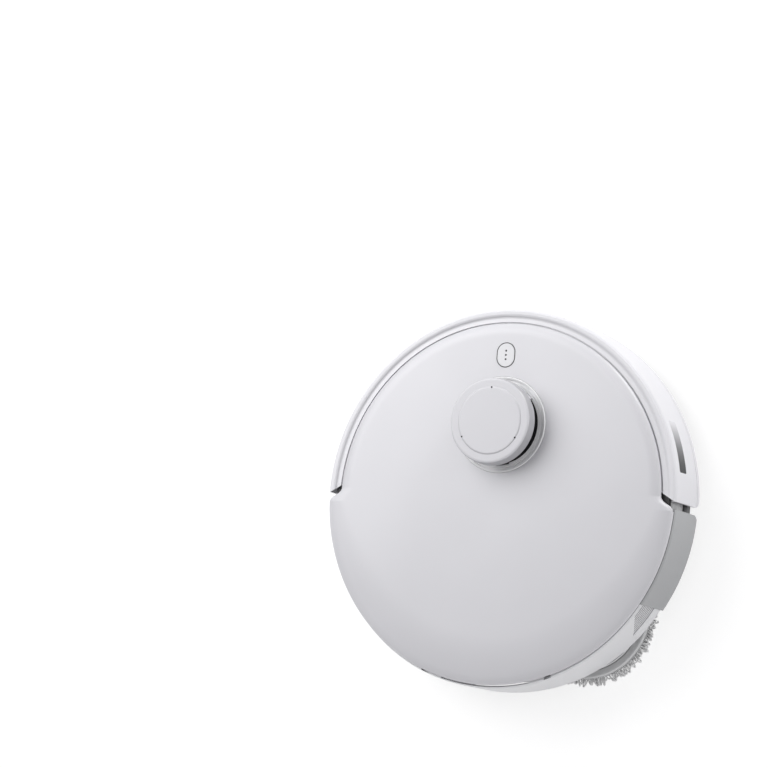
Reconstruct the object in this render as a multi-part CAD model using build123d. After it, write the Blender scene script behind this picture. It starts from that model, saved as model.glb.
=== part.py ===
from build123d import *
import math
import os

# Robot vacuum with a mopping pair. Millimetres, standing on its wheels on z = 0.
# The front, with the bumper, faces -Y. The robot's right side is -X.

# ---- Body ----
SHELL_RADIUS = 167.5        # inner body: chassis tub and deck
WALL = 2.5                  # moulded wall of the inner body
UNDERSIDE = 16.0            # bottom face of the chassis
EDGE_RISE = 8.0             # height of the bevel round the underside
EDGE_RUN = 9.5              # width of that bevel
COVER_TOP = 75.0            # flat top of the cover
COVER_THICK = 2.5           # cover plate
COVER_LIP = 5.0             # depth of the cover's rim
COVER_SEAT = 3.5            # free height between deck and cover plate
COVER_REAR_RADIUS = SHELL_RADIUS + 5.5   # outline over the rear half
COVER_FRONT_RADIUS = SHELL_RADIUS - 6.7  # outline inside the bumper
COVER_STEP_FRONT = 1.4      # degrees ahead of the side axis where the outline starts to step out
COVER_STEP_REAR = 3.3       # degrees behind the side axis where the step ends
COVER_STEP_PULL = 0.55      # how sharply the outline turns at the step
COVER_ROLL = (9.0, 2.1)     # width and height of the rolled edge, a quarter of an ellipse
COVER_ROLL_STEPS = 8
DECK_TOP = COVER_TOP - COVER_THICK - COVER_SEAT
DECK_LOW = DECK_TOP - WALL
FLOOR_TOP = UNDERSIDE + WALL
GAP = 0.3                   # free gap beside pieces that slide or lift
FIT = 0.05                  # radial running clearance of shafts and pins

# ---- Outer skins ----
SKIN = 2.3                  # bumper, side panels and rear wall
SNUG = 0.1                  # skins stand off the inner body by this
REAR_RADIUS = SHELL_RADIUS + 6.1   # rear wall at its foot, about its own centre
REAR_BACK = 3.0             # that centre lies this far behind the body's
REAR_DRAFT = 1.0            # the wall leans in by this at the top
REAR_FOOT = 19.6            # bottom edge of the rear wall
REAR_FOOT_RISE = 4.4        # the bottom edge climbs by this towards the side panels
REAR_FOOT_FLAT = 95.0       # half width over which it is level
PANEL_RADIUS = SHELL_RADIUS + 8.4  # side panels at their foot
PANEL_DRAFT = 1.5
SIDE_FOOT = 17.0            # bottom edge of the side panels
SIDE_START = 2.35           # degrees behind the side axis
SIDE_END = 32.4             # degrees behind the side axis
SIDE_LOW_ROUND = 9.0        # lower front corner
SIDE_TOP_ROUND = 2.5        # upper front corner
PANEL_TOP = COVER_TOP - COVER_LIP - 0.5
SEAM = 0.25                 # butt seam between neighbouring skins
SLIT_HALF = 44.0            # vent slit between cover and rear wall
SLIT_WIDE = (4.7, 6.8)      # its inner and outer edge, from the shell radius
DASH_X = 61.4               # middle of the short slot either side of it
DASH_HALF = 3.5
DASH_WIDE = (4.4, 7.4)
SLIT_DEPTH = 3.4

# ---- Bumper ----
BUMPER_RADIUS = SHELL_RADIUS + 9.7  # at the foot
BUMPER_DRAFT = 2.3
BUMPER_FOOT = 17.0
BUMPER_LOW_ROUND = 11.0     # lower corners at its ends
BUMPER_TRAVEL = 4.0         # pushed straight back
BUMPER_END = -0.15          # degrees ahead of the side axis
RIM_TOP = COVER_TOP - COVER_THICK - GAP
RIM_THICK = 2.2
RIM_INNER = SHELL_RADIUS - 12.0
RIM_GROOVE = (0.1, 1.6, 1.5)  # start and end outside the cover's outline, depth
RIM_CUT = ((12.5, -10.7), (-5.5, 0.3))  # oblique end of the rim: inside the shell radius, Y
BELT_LINE = 7.7             # groove above the foot
BELT_GROOVE = (1.1, 0.6)    # depth and height
SIDE_WINDOW_ANGLE = 16.9    # degrees ahead of the side axis
SIDE_WINDOW = (49.0, 14.5)  # width and height
SIDE_WINDOW_Z = 55.0
SIDE_WINDOW_CORNER = 1.5
FRONT_WINDOW = (96.0, 27.0)
FRONT_WINDOW_Z = 46.0
FRONT_WINDOW_CORNER = 9.0
BUFFER_ANGLE = 22.0         # degrees either side of the front
BUFFER_LOW = 44.0
BUFFER_HIGH = 58.0

# ---- Laser turret ----
TURRET_Y = -66.0
TURRET_RISE = 26.0
CAP_RADIUS = 39.6
CAP_FLARE = 0.7
CAP_LOW = 14.1              # window height over the cover
CAP_WALL = 2.0
CAP_ROOF = 9.0              # stiff roof over the rotor
CAP_TRAVEL = 1.5
CAP_DISC = 30.7             # raised disc on the cap
CAP_DISC_RISE = 0.4
CAP_DOT = 0.8               # radius of the three holes on its edge
COLLAR_RADIUS = 40.2
TURRET_RADIUS = 44.7
TURRET_FLOOR = 58.5
ROTOR_RADIUS = 31.5
PIT_GAP = 2.0               # free ring round the rotor
ROTOR_HEIGHT = 19.0
ROTOR_HALF = 17.0           # the lens block is this thick either side
LENSES = ((-11.0, 6.0), (11.0, 4.0))  # X and radius
LEG_INNER = 34.0
LEG_OUTER = 38.0
LEG_HALF = 6.0              # half angle of a leg
LEG_ANGLES = (80.0, 225.0, 332.5)
NOTCH_END = 107.5           # the slot of the first leg runs on to here
SHAFT_RADIUS = 4.0

# ---- Start button ----
BUTTON_BACK = 2.1           # its middle lies this far behind the middle between rim and turret
BUTTON_SIZE = (17.6, 22.5)
BUTTON_TRAVEL = 0.8
BUTTON_PROUD = 0.2

# ---- Dust bin ----
BIN_X = 78.0                # half width
BIN_FRONT = -12.0
BIN_REAR = 70.0
BIN_LOW = 35.3
BIN_CORNER = 12.0
BIN_WALL = 1.8
LID_THICK = 4.0
BIN_TOP = DECK_TOP - 1.5
BAY_GAP = 0.8
BAY_WALL = 1.5
INLET = (60.0, 12.0)

# ---- Drive wheels ----
WHEEL_RADIUS = 32.5
WHEEL_WIDTH = 24.0
WHEEL_X = 115.0
TYRE_THICK = 6.0
LUG_COUNT = 20
LUG_DEPTH = 2.2
PIVOT_Y = -30.0
PIVOT_Z = 44.0
ARM_THICK = 14.0
ARM_NOSE = 19.0             # gear housing radius round the axle
ARM_TAIL = 9.0              # radius round the pivot
AXLE_RADIUS = 4.0
PIN_RADIUS = 3.0
WELL_GAP = 5.0              # room round the wheel
WELL_WALL = 2.0
SPRING_RADIUS = 5.0
SPRING_WIRE = 0.8
SPRING_TURNS = 4

# ---- Caster ----
CASTER_Y = -130.0
CASTER_RADIUS = 12.0
CASTER_WIDTH = 18.0
CASTER_TRAIL = 4.0
FORK_RADIUS = 20.0
FORK_LOW = 9.0
SOCKET_TOP = 34.0
STEM_RADIUS = 3.0
CASTER_AXLE = 2.0

# ---- Main brush ----
BRUSH_Y = -64.0
BRUSH_Z = 20.5
BRUSH_RADIUS = 19.0
BRUSH_CORE = 11.0
BRUSH_HALF = 71.0           # half length
FIN_COUNT = 5
FIN_THICK = 1.8
FIN_PITCH = 300.0
CHAMBER_GAP = 2.5
GUARD_THICK = 2.5
BEARING_RADIUS = 4.4
BRUSH_PIN = 2.5

# ---- Side brush ----
SLANT = 0.7                 # share of the tub's radius by which a place on its slant moves in X or Y
SIDE_BRUSH = (2.25 - SLANT * SHELL_RADIUS, 18.25 - SLANT * SHELL_RADIUS)
SIDE_BRUSH_REACH = 48.0
SIDE_BRUSH_HUB = 11.0
SIDE_BRUSH_LOW = 1.5
SIDE_MOTOR_RADIUS = 12.0
SIDE_MOTOR_HEIGHT = 20.0

# ---- Mops ----
MOP_PAD_RADIUS = 64.5
MOP_PAD_THICK = 4.0
MOP_PLATE_RADIUS = 62.0
MOP_PLATE_THICK = 3.5
MOP_LIFT = 8.0
MOP_HEADROOM = 4.5          # left over the lifted plates
MOP_BAY_RADIUS = 70.0
MOP_CEILING = MOP_PAD_THICK + MOP_PLATE_THICK + MOP_LIFT + MOP_HEADROOM
MOP_ARM_PIVOT = (-31.2, 117.7)
MOP_ARM_LENGTH = 43.1
MOP_ARM_ANGLE = 208.7       # degrees, swung out
MOP_ARM_SWING = 10.1        # degrees it turns to come in
MOP_ARM_TOP = 32.5
MOP_ARM_WIDTH = 17.0        # radius of the arm's ends
MOP_LEFT = (64.8, 90.7)
MOP_SLEEVE = 8.0
MOP_SHIELD_RADIUS = 55.0    # still disc on the sleeve, over the turning plate
MOP_SHIELD_THICK = 1.6
MOP_RING_INNER = 56.0       # raised ring of the plate
MOP_PEG = 5.0
MOP_PIVOT_PIN = 5.0

# ---- Inner units ----
BATTERY = (120.0, 38.0, 21.5)
BATTERY_Y = 37.5 - SHELL_RADIUS    # behind the front of the tub
BOARD_Z = 52.0
BOARD_THICK = 1.6
BOARD_RADIUS = SHELL_RADIUS - 9.5
FAN = (16.0 - 0.8 * SHELL_RADIUS, 66.0)   # between the bin, the right wheel and the tub's wall
FAN_RADIUS = 22.0
FAN_TOP = 62.0
FAN_DUCT = (22.0, 24.0)     # width and height
TANK_LOW = 48.0
TANK_RADIUS = SHELL_RADIUS - 5.5
TANK_X = (-84.0, 140.0)
GRILLE_ANGLE = 142.4        # degrees from +X to the reference line of the grille
GRILLE_LOW = 37.0
GRILLE_HIGH = 66.6
GRILLE_FRONT = 20.0         # runs on to the side panel
GRILLE_BACK = (15.6, 4.0)   # length behind the line at the bottom, and ahead of it at the top
GRILLE_FRAME = 1.2
GRILLE_SINK = 2.5           # the frame lies this deep behind the louvres
LOUVRE_COUNT = 8
LOUVRE_THICK = 1.6
LOUVRE_DROP = 2.2
SCREW_HEAD = 3.0
SCREW_SHANK = 1.4
RIM_SCREWS = ((88.0, 39.5 - SHELL_RADIUS), (SHELL_RADIUS - 17.5, -62.0), (SHELL_RADIUS - 19.5, 44.0))
MIDDLE_SCREWS = ((0.0, -22.0), (0.0, 6.0))
SCREW_PLACES = [(side * x, y) for x, y in RIM_SCREWS for side in (-1, 1)] + list(MIDDLE_SCREWS)
CLIFF_SLIDE = 1.6           # in a smaller tub the side windows lie further forward, past the wheels
CLIFF_PAIRS = ((58.0, 21.5 - SHELL_RADIUS), (SHELL_RADIUS - 20.5, CLIFF_SLIDE * SHELL_RADIUS - 290.0))
CLIFF_PLACES = [(side * x, y) for x, y in CLIFF_PAIRS for side in (-1, 1)]
CLIFF_SIZE = (16.0, 9.0)
CONTACT_X = 36.0
CONTACT_Y = 17.5 - SHELL_RADIUS
CONTACT_SIZE = (18.0, 8.0)
TRIM_DEPTH = 1.2

ON_BASE = (Align.CENTER, Align.CENTER, Align.MIN)
REACH = 400.0               # longer than any cut needs


def disc(radius, low, high, at=(0.0, 0.0)):
    return Pos(at[0], at[1], low) * Cylinder(radius, high - low, align=ON_BASE)


def plan_box(x_span, y_span, corner=0.0):
    width = x_span[1] - x_span[0]
    depth = y_span[1] - y_span[0]
    middle = Pos((x_span[0] + x_span[1]) / 2, (y_span[0] + y_span[1]) / 2)
    if corner:
        return middle * RectangleRounded(width, depth, corner)
    return middle * Rectangle(width, depth)


def upright(plan, low, high):
    return extrude(Pos(0, 0, low) * plan, high - low)


def sideways(profile, low_x, high_x):
    """Extrude a profile drawn in Y and Z along X."""
    return extrude(Plane.YZ.offset(low_x) * profile, high_x - low_x)


def turned(points, start=0.0, end=360.0):
    """Revolve an outline of (radius, z) points about Z, from start to end in degrees."""
    outline = make_face(Polyline(*[(radius, 0, z) for radius, z in points], close=True))
    return Rot(0, 0, start) * revolve(outline, Axis.Z, end - start)


def radial_prism(angle, profile, z=0.0):
    """Extrude a profile out along the radius at the angle. Its X runs with the angle, its Y is up."""
    out = Vector(math.cos(math.radians(angle)), math.sin(math.radians(angle)), 0)
    face = Plane(origin=out * RIM_INNER + Vector(0, 0, z), x_dir=Vector(0, 0, 1).cross(out), z_dir=out)
    return extrude(face * profile, REACH / 8)


def belt(first, first_radius, second, second_radius):
    """The outline of a strap round two circles."""
    rounds = (Pos(*first) * Circle(first_radius)).edges() + (Pos(*second) * Circle(second_radius)).edges()
    return make_hull(rounds)


def polar(radius, angle, centre=(0.0, 0.0)):
    turn = math.radians(angle)
    return (centre[0] + radius * math.cos(turn), centre[1] + radius * math.sin(turn))


def mirrored(shape):
    return mirror(shape, about=Plane.YZ)


# ---- Places that several pieces share ----
MOP_OUT = polar(MOP_ARM_LENGTH, MOP_ARM_ANGLE, MOP_ARM_PIVOT)
MOP_IN = polar(MOP_ARM_LENGTH, MOP_ARM_ANGLE + MOP_ARM_SWING, MOP_ARM_PIVOT)
MOP_PLATE_TOP = MOP_PAD_THICK + MOP_PLATE_THICK
WHEEL_INNER = WHEEL_X - WHEEL_WIDTH / 2
WHEEL_OUTER = WHEEL_X + WHEEL_WIDTH / 2
ARM_OUTER = WHEEL_INNER - 1.5
ARM_INNER = ARM_OUTER - ARM_THICK
WELL_X = (ARM_INNER - 2.0, WHEEL_OUTER + 3.0)
WELL_Y = (-WHEEL_RADIUS - WELL_GAP - 3.0, WHEEL_RADIUS + WELL_GAP)
CHAMBER_RADIUS = BRUSH_RADIUS + CHAMBER_GAP
CHAMBER_HALF = BRUSH_HALF + WALL + 1.0
CHAMBER_OUTER = CHAMBER_RADIUS + WALL
BAY_X = BIN_X + BAY_GAP
BAY_Y = (BIN_FRONT - BAY_GAP, BIN_REAR + BAY_GAP)
BAY_LOW = BIN_LOW - GAP
FORK_TOP = SOCKET_TOP - WALL - GAP
SIDE_SEAT = UNDERSIDE + EDGE_RISE + 0.5
CAP_TOP = COVER_TOP + TURRET_RISE
BUTTON_Y = (TURRET_Y - TURRET_RADIUS - RIM_INNER) / 2 + BUTTON_BACK
CAP_FOOT = COVER_TOP + CAP_LOW
REAR_SEAM = math.degrees(SEAM / PANEL_RADIUS)


def mop_bay_plan(margin=0.0):
    """Outline of the raised ceiling over both mops."""
    radius = MOP_BAY_RADIUS + margin
    plan = Pos(*MOP_OUT) * Circle(radius) + Pos(*MOP_IN) * Circle(radius) + Pos(*MOP_LEFT) * Circle(radius)
    return plan + plan_box((MOP_OUT[0], MOP_LEFT[0]), (MOP_LEFT[1] - radius / 2, SHELL_RADIUS + margin))


def wheel_well_plan(margin=0.0):
    spans = ((WELL_X[0] - margin, WELL_X[1] + margin), (WELL_Y[0] - margin, WELL_Y[1] + margin))
    return plan_box(spans[0], spans[1], 4.0)


def base_shell():
    """Tub with openings for the wheel housings, the brush mouth, the caster socket and the mop bay."""
    inner = SHELL_RADIUS - WALL
    outline = [(0, UNDERSIDE), (SHELL_RADIUS - EDGE_RUN, UNDERSIDE), (SHELL_RADIUS, UNDERSIDE + EDGE_RISE),
               (SHELL_RADIUS, DECK_LOW), (inner, DECK_LOW), (inner, UNDERSIDE + EDGE_RISE + 1.0),
               (inner - EDGE_RUN + 1.0, FLOOR_TOP), (0, FLOOR_TOP)]
    shell = turned(outline)
    shell -= upright(mop_bay_plan(WALL), 0, MOP_CEILING)
    shell -= upright(mop_bay_plan(WALL) & Circle(inner), 0, MOP_CEILING + WALL)
    wells = upright(wheel_well_plan(WELL_WALL), 0, DECK_LOW)
    shell -= wells + mirrored(wells)
    shell -= upright(plan_box((-CHAMBER_HALF, CHAMBER_HALF),
                              (BRUSH_Y - CHAMBER_OUTER, BRUSH_Y + CHAMBER_OUTER)), 0, DECK_LOW)
    shell -= disc(FORK_RADIUS + GAP + WALL, 0, REACH, (0.0, CASTER_Y))
    shell += disc(SHAFT_RADIUS + 3.0, FLOOR_TOP - 1.0, SIDE_SEAT, SIDE_BRUSH)
    shell += disc(SIDE_MOTOR_RADIUS, SIDE_SEAT - WALL, SIDE_SEAT, SIDE_BRUSH)
    shell -= disc(SHAFT_RADIUS + 1.0, 0, REACH / 4, SIDE_BRUSH)
    for x, y in board_posts():
        shell += disc(SCREW_HEAD, FLOOR_TOP - 1.0, BOARD_Z, (x, y))
    shell -= grille_prism(GRILLE_FRAME) & upright(Circle(REACH / 2), 0, DECK_LOW - WALL)
    for x, y in SCREW_PLACES:
        shell -= disc(SCREW_HEAD + GAP, 0, UNDERSIDE + TRIM_DEPTH, (x, y))
        shell -= disc(SCREW_SHANK, 0, FLOOR_TOP, (x, y))
    for x, y in CLIFF_PLACES:
        shell -= upright(Pos(x, y) * RectangleRounded(*CLIFF_SIZE, 3.0), 0, UNDERSIDE + TRIM_DEPTH)
    for x in (-CONTACT_X, CONTACT_X):
        shell -= upright(Pos(x, CONTACT_Y) * RectangleRounded(*CONTACT_SIZE, 2.0), 0, UNDERSIDE + TRIM_DEPTH)
    return shell


def board_posts():
    return ((68.0, 55.5 - SHELL_RADIUS), (68.0, -97.0), (SHELL_RADIUS - 45.5, -62.0))


def wheel_housing(left):
    """Open frame of the wheel module, let into the tub."""
    housing = upright(wheel_well_plan(WELL_WALL) - wheel_well_plan(), UNDERSIDE, DECK_LOW)
    housing -= sideways(Pos(PIVOT_Y, PIVOT_Z) * Circle(PIN_RADIUS), 0, WELL_X[0])
    return housing if left else mirrored(housing)


def caster_socket():
    caster = (0.0, CASTER_Y)
    socket = disc(FORK_RADIUS + GAP + WALL, UNDERSIDE, SOCKET_TOP, caster)
    socket -= disc(FORK_RADIUS + GAP, 0, SOCKET_TOP - WALL, caster)
    return socket - disc(STEM_RADIUS + FIT, 0, REACH, caster)


def mop_bay():
    """Raised ceiling over both mops, with the slot that the right mop's sleeve swings in."""
    plan = mop_bay_plan(WALL) & Circle(SHELL_RADIUS - WALL)
    bay = upright(plan, UNDERSIDE, MOP_CEILING + WALL) - upright(mop_bay_plan(), 0, MOP_CEILING)
    bevel = turned([(SHELL_RADIUS - EDGE_RUN - WALL, UNDERSIDE - 1), (REACH, UNDERSIDE - 1),
                    (REACH, MOP_CEILING), (SHELL_RADIUS - EDGE_RUN - WALL, MOP_CEILING)])
    bay -= bevel
    wells = upright(wheel_well_plan(WELL_WALL), 0, DECK_LOW)
    bay -= wells + mirrored(wells)
    bay -= disc(MOP_SLEEVE + 2.0, 0, REACH / 4, MOP_LEFT)
    track = CenterArc((*MOP_ARM_PIVOT, 0), MOP_ARM_LENGTH, MOP_ARM_ANGLE, MOP_ARM_SWING)
    bay -= upright(SlotArc(track, 2 * (MOP_SLEEVE + 2.0)), 0, REACH / 4)
    return bay + disc(MOP_PIVOT_PIN, MOP_CEILING + 1.0, MOP_ARM_TOP + 0.3, MOP_ARM_PIVOT)


def deck():
    """Inner lid of the body: bin bay, turret pocket and rests for the cover and the bumper rim."""
    plate = disc(SHELL_RADIUS, DECK_LOW, DECK_TOP)
    outside = plan_box((-BAY_X - BAY_WALL, BAY_X + BAY_WALL), (BAY_Y[0] - BAY_WALL, BAY_Y[1] + BAY_WALL),
                       BIN_CORNER + BAY_WALL)
    plate += upright(outside, BAY_LOW - BAY_WALL, DECK_LOW)
    plate -= upright(plan_box((-BAY_X, BAY_X), BAY_Y, BIN_CORNER), BAY_LOW, REACH / 4)
    inlet = plan_box((-INLET[0] / 2, INLET[0] / 2), (BAY_Y[0] - WALL, BAY_Y[0] + 1.0))
    plate -= upright(inlet, BIN_LOW + 5.0, BIN_LOW + 5.0 + INLET[1])
    centre = (0.0, TURRET_Y)
    plate += disc(TURRET_RADIUS + 1.0 + WALL, TURRET_FLOOR - WALL, DECK_LOW, centre)
    plate -= disc(TURRET_RADIUS + GAP, TURRET_FLOOR, REACH / 4, centre)
    plate -= disc(SHAFT_RADIUS + 1.0, 0, REACH / 4, centre)
    for angle in (205.0, 240.0, 300.0, 335.0):
        plate += disc(3.5, DECK_TOP, RIM_TOP - RIM_THICK - GAP / 2, polar(RIM_INNER + 5.0, angle))
    for x in (-WHEEL_X, WHEEL_X):
        plate += disc(12.0, DECK_TOP, DECK_TOP + 0.6, (x, 0.0))
    return plate


def cover_outline(inset=0.0):
    """Front arc inside the bumper, S-shaped steps at the sides and the rear arc."""
    front = COVER_FRONT_RADIUS - inset
    rear = COVER_REAR_RADIUS - inset
    front_arc = CenterArc((0, 0, 0), front, 180 + COVER_STEP_FRONT, 180 - 2 * COVER_STEP_FRONT)
    rear_arc = CenterArc((0, 0, 0), rear, COVER_STEP_REAR, 180 - 2 * COVER_STEP_REAR)
    pull = (rear - front) * COVER_STEP_PULL
    ahead = Vector(0, -pull)
    right = Bezier(rear_arc @ 1, (rear_arc @ 1) + ahead, (front_arc @ 0) - ahead, front_arc @ 0)
    left = Bezier(front_arc @ 1, (front_arc @ 1) - ahead, (rear_arc @ 0) + ahead, rear_arc @ 0)
    return make_face([front_arc, left, rear_arc, right])


def top_cover():
    width, height = COVER_ROLL
    cover = upright(cover_outline(), COVER_TOP - COVER_THICK, COVER_TOP - height)
    sections = []
    for step in range(COVER_ROLL_STEPS + 1):
        turn = math.pi / 2 * step / COVER_ROLL_STEPS
        level = Pos(0, 0, COVER_TOP - height * (1 - math.sin(turn)))
        sections.append(level * cover_outline(width * (1 - math.cos(turn))))
    cover += loft(sections, ruled=True)
    low = COVER_TOP - COVER_LIP
    high = COVER_TOP - COVER_THICK + 0.1
    rim = turned([(COVER_REAR_RADIUS - SKIN, low), (COVER_REAR_RADIUS - 0.4, low),
                  (COVER_REAR_RADIUS, low + 0.4), (COVER_REAR_RADIUS, high),
                  (COVER_REAR_RADIUS - SKIN, high)], COVER_STEP_REAR, 180 - COVER_STEP_REAR)
    cover += rim
    cover -= vent_slots(low - 1.0, high - 0.2)
    for radius in (90.0, 130.0):
        low = COVER_TOP - COVER_THICK - 1.6
        high = COVER_TOP - 1.0
        rib = [(radius, low), (radius + 1.6, low), (radius + 1.6, high), (radius, high)]
        cover += turned(rib, 35.0, 145.0)
    for angle in (60.0, 120.0, 190.0, 350.0):
        cover += disc(4.0, DECK_TOP, COVER_TOP - 1.0, polar(SHELL_RADIUS - 26.0, angle))
    cover -= disc(TURRET_RADIUS + GAP, 0, REACH, (0.0, TURRET_Y))
    cover -= upright(button_plan(GAP), 0, REACH)
    return cover


def button_plan(margin=0.0):
    long_way = BUTTON_SIZE[1] + 2 * margin
    return Pos(0, BUTTON_Y) * SlotOverall(long_way, BUTTON_SIZE[0] + 2 * margin, rotation=90)


def start_button():
    top = COVER_TOP + BUTTON_PROUD
    key = upright(button_plan(), top - 4.0, top)
    key = fillet(key.edges().group_by(Axis.Z)[-1], 0.6)
    return key + disc(4.0, DECK_TOP + BUTTON_TRAVEL + 0.1, top - 4.0, (0.0, BUTTON_Y))


def skin_outline(foot, radius, draft, top, flange_inner):
    """Section of an outer skin with an inward flange along its top."""
    upper = radius - draft
    return [(radius - 1.2, foot), (radius, foot + 1.6), (upper, top - 2.0), (upper - 1.0, top),
            (flange_inner, top), (flange_inner, top - 2.4), (upper - SKIN - 0.6, top - 2.4),
            (upper - SKIN, top - 3.6),
            (radius - SKIN, foot + 1.6), (radius - SKIN - 0.4, foot)]


def bumper_outline():
    """Section of the bumper: grooved rim under the cover, raised lip, leaning wall and belt line."""
    foot = BUMPER_RADIUS
    upper = BUMPER_RADIUS - BUMPER_DRAFT
    low = RIM_TOP - RIM_THICK
    groove_start = COVER_FRONT_RADIUS + RIM_GROOVE[0]
    groove_end = COVER_FRONT_RADIUS + RIM_GROOVE[1]
    groove_low = RIM_TOP - RIM_GROOVE[2]
    belt_line = BUMPER_FOOT + BELT_LINE
    return [(RIM_INNER, low), (RIM_INNER, RIM_TOP), (groove_start, RIM_TOP), (groove_start, groove_low),
            (groove_end, groove_low), (groove_end, RIM_TOP), (upper - 9.5, RIM_TOP - 0.2),
            (upper - 7.6, RIM_TOP - 0.5), (upper - 5.0, RIM_TOP + 0.5), (upper - 2.6, RIM_TOP + 0.6),
            (upper - 0.9, RIM_TOP - 0.6), (upper, RIM_TOP - 2.8), (foot, belt_line + 0.2),
            (foot - BELT_GROOVE[0], belt_line), (foot - BELT_GROOVE[0], belt_line - BELT_GROOVE[1]),
            (foot - 0.1, belt_line - BELT_GROOVE[1] - 0.2), (foot - 0.2, BUMPER_FOOT + 1.2),
            (foot - 0.9, BUMPER_FOOT), (foot - SKIN - 1.4, BUMPER_FOOT),
            (foot - SKIN - 1.4, BUMPER_FOOT + 1.6), (foot - SKIN - 0.6, BUMPER_FOOT + 2.2),
            (upper - SKIN, RIM_TOP - 3.4), (upper - SKIN - 1.6, low)]


def end_corner(end_y, foot, radius, ahead):
    """What to cut off at a skin's end to round its lower corner. The skin lies ahead of the end or behind."""
    inward = -radius if ahead else radius
    middle = end_y + inward
    notch = plan_box(sorted((middle, end_y - inward)), (0, foot + radius))
    notch -= Pos(middle, foot + radius) * Circle(radius)
    return sideways(notch, SHELL_RADIUS - WALL, REACH / 2)


def bumper_blank():
    blank = turned(bumper_outline(), 180 + BUMPER_END, 360 - BUMPER_END)
    end_y = polar(BUMPER_RADIUS, -BUMPER_END)[1]
    (deep, deep_y), (out, out_y) = RIM_CUT
    oblique = make_face(Polyline((SHELL_RADIUS - deep, deep_y), (SHELL_RADIUS - out, out_y),
                                 (SHELL_RADIUS - deep, out_y + 1.0), close=True))
    cut = end_corner(end_y, BUMPER_FOOT, BUMPER_LOW_ROUND, True) + upright(oblique, SIDE_SEAT, REACH / 4)
    return blank - cut - mirrored(cut)


def bumper_windows():
    pane = RectangleRounded(*SIDE_WINDOW, SIDE_WINDOW_CORNER)
    side = radial_prism(180 + SIDE_WINDOW_ANGLE, pane, SIDE_WINDOW_Z)
    front = radial_prism(270, RectangleRounded(*FRONT_WINDOW, FRONT_WINDOW_CORNER), FRONT_WINDOW_Z)
    return side, front


def bumper():
    side, front = bumper_windows()
    shell = bumper_blank() - side - front
    return shell


def window_pane(prism):
    """A glossy pane that fills its cut-out in the bumper wall, a little sunk."""
    wall = bumper_blank()
    inner_face = BUMPER_RADIUS + 1.0
    keep = disc(inner_face, BUMPER_FOOT, RIM_TOP - 4.0)
    return (wall & prism) & keep


def bumper_buffers():
    """Rubber stops on the tub that the bumper meets at full travel."""
    outer = BUMPER_RADIUS - BUMPER_DRAFT - SKIN - BUMPER_TRAVEL - GAP
    pads = []
    for middle in (270 - BUFFER_ANGLE, 270 + BUFFER_ANGLE):
        pads.append(turned([(SHELL_RADIUS, BUFFER_LOW), (outer, BUFFER_LOW), (outer, BUFFER_HIGH),
                            (SHELL_RADIUS, BUFFER_HIGH)], middle - 4, middle + 4))
    return Compound(children=pads)


def side_panel(left):
    """Panel between bumper and rear wall, rounded at both front corners."""
    panel = turned(skin_outline(SIDE_FOOT, PANEL_RADIUS, PANEL_DRAFT, PANEL_TOP, SHELL_RADIUS + SNUG),
                   SIDE_START, SIDE_END)
    start = polar(PANEL_RADIUS, SIDE_START)[1]
    panel -= end_corner(start, SIDE_FOOT, SIDE_LOW_ROUND, False)
    top_round = PANEL_TOP - SIDE_TOP_ROUND
    notch = plan_box((start - SIDE_TOP_ROUND, start + SIDE_TOP_ROUND), (top_round, PANEL_TOP + 1.0))
    notch -= Pos(start + SIDE_TOP_ROUND, top_round) * Circle(SIDE_TOP_ROUND)
    panel -= sideways(notch, SHELL_RADIUS + WALL, REACH / 2)
    return panel if left else mirrored(panel)


def rear_sweep(outline):
    """Sweep a section round the rear wall's own centre, from one side panel to the other."""
    inside = SHELL_RADIUS + SNUG
    keep = turned([(inside, 0), (REACH / 2, 0), (REACH / 2, REACH / 4), (inside, REACH / 4)],
                  SIDE_END + REAR_SEAM, 180 - SIDE_END - REAR_SEAM)
    return (Pos(0, REAR_BACK, 0) * turned(outline, 0, 180)) & keep


def vent_slots(low, high):
    """Slit between cover and rear wall, with a short slot beyond each of its ends."""
    slots = []
    for middle, half, wide in ((0.0, SLIT_HALF, SLIT_WIDE), (-DASH_X, DASH_HALF, DASH_WIDE),
                               (DASH_X, DASH_HALF, DASH_WIDE)):
        ring = Circle(SHELL_RADIUS + wide[1]) - Circle(SHELL_RADIUS + wide[0])
        slots.append(upright(ring & plan_box((middle - half, middle + half), (0, REACH / 2)), low, high))
    return slots[0] + slots[1] + slots[2]


def rear_wall():
    """Wall whose foot climbs towards the side panels, over the mops."""
    inner = SHELL_RADIUS - REAR_BACK - SNUG
    wall = rear_sweep(skin_outline(REAR_FOOT, REAR_RADIUS, REAR_DRAFT, PANEL_TOP, inner))
    wall -= grille_prism()
    wall -= vent_slots(PANEL_TOP - SLIT_DEPTH, PANEL_TOP + 1.0)
    climb = make_face(Polyline((REAR_FOOT_FLAT, REAR_FOOT), (SHELL_RADIUS, REAR_FOOT + REAR_FOOT_RISE),
                               (SHELL_RADIUS, 0), (REAR_FOOT_FLAT, 0), close=True))
    cut = extrude(Plane.XZ * climb, -REACH / 2)
    return wall - cut - mirrored(cut)


def grille_prism(margin=0.0):
    """Opening of the exhaust grille: its rear end slants forward as it rises."""
    low = GRILLE_LOW + margin
    high = GRILLE_HIGH - margin
    outline = Polyline((GRILLE_FRONT, low), (GRILLE_FRONT, high), (GRILLE_BACK[1] + margin, high),
                       (2.0 * margin - GRILLE_BACK[0], low), close=True)
    return radial_prism(GRILLE_ANGLE, make_face(outline))


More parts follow.
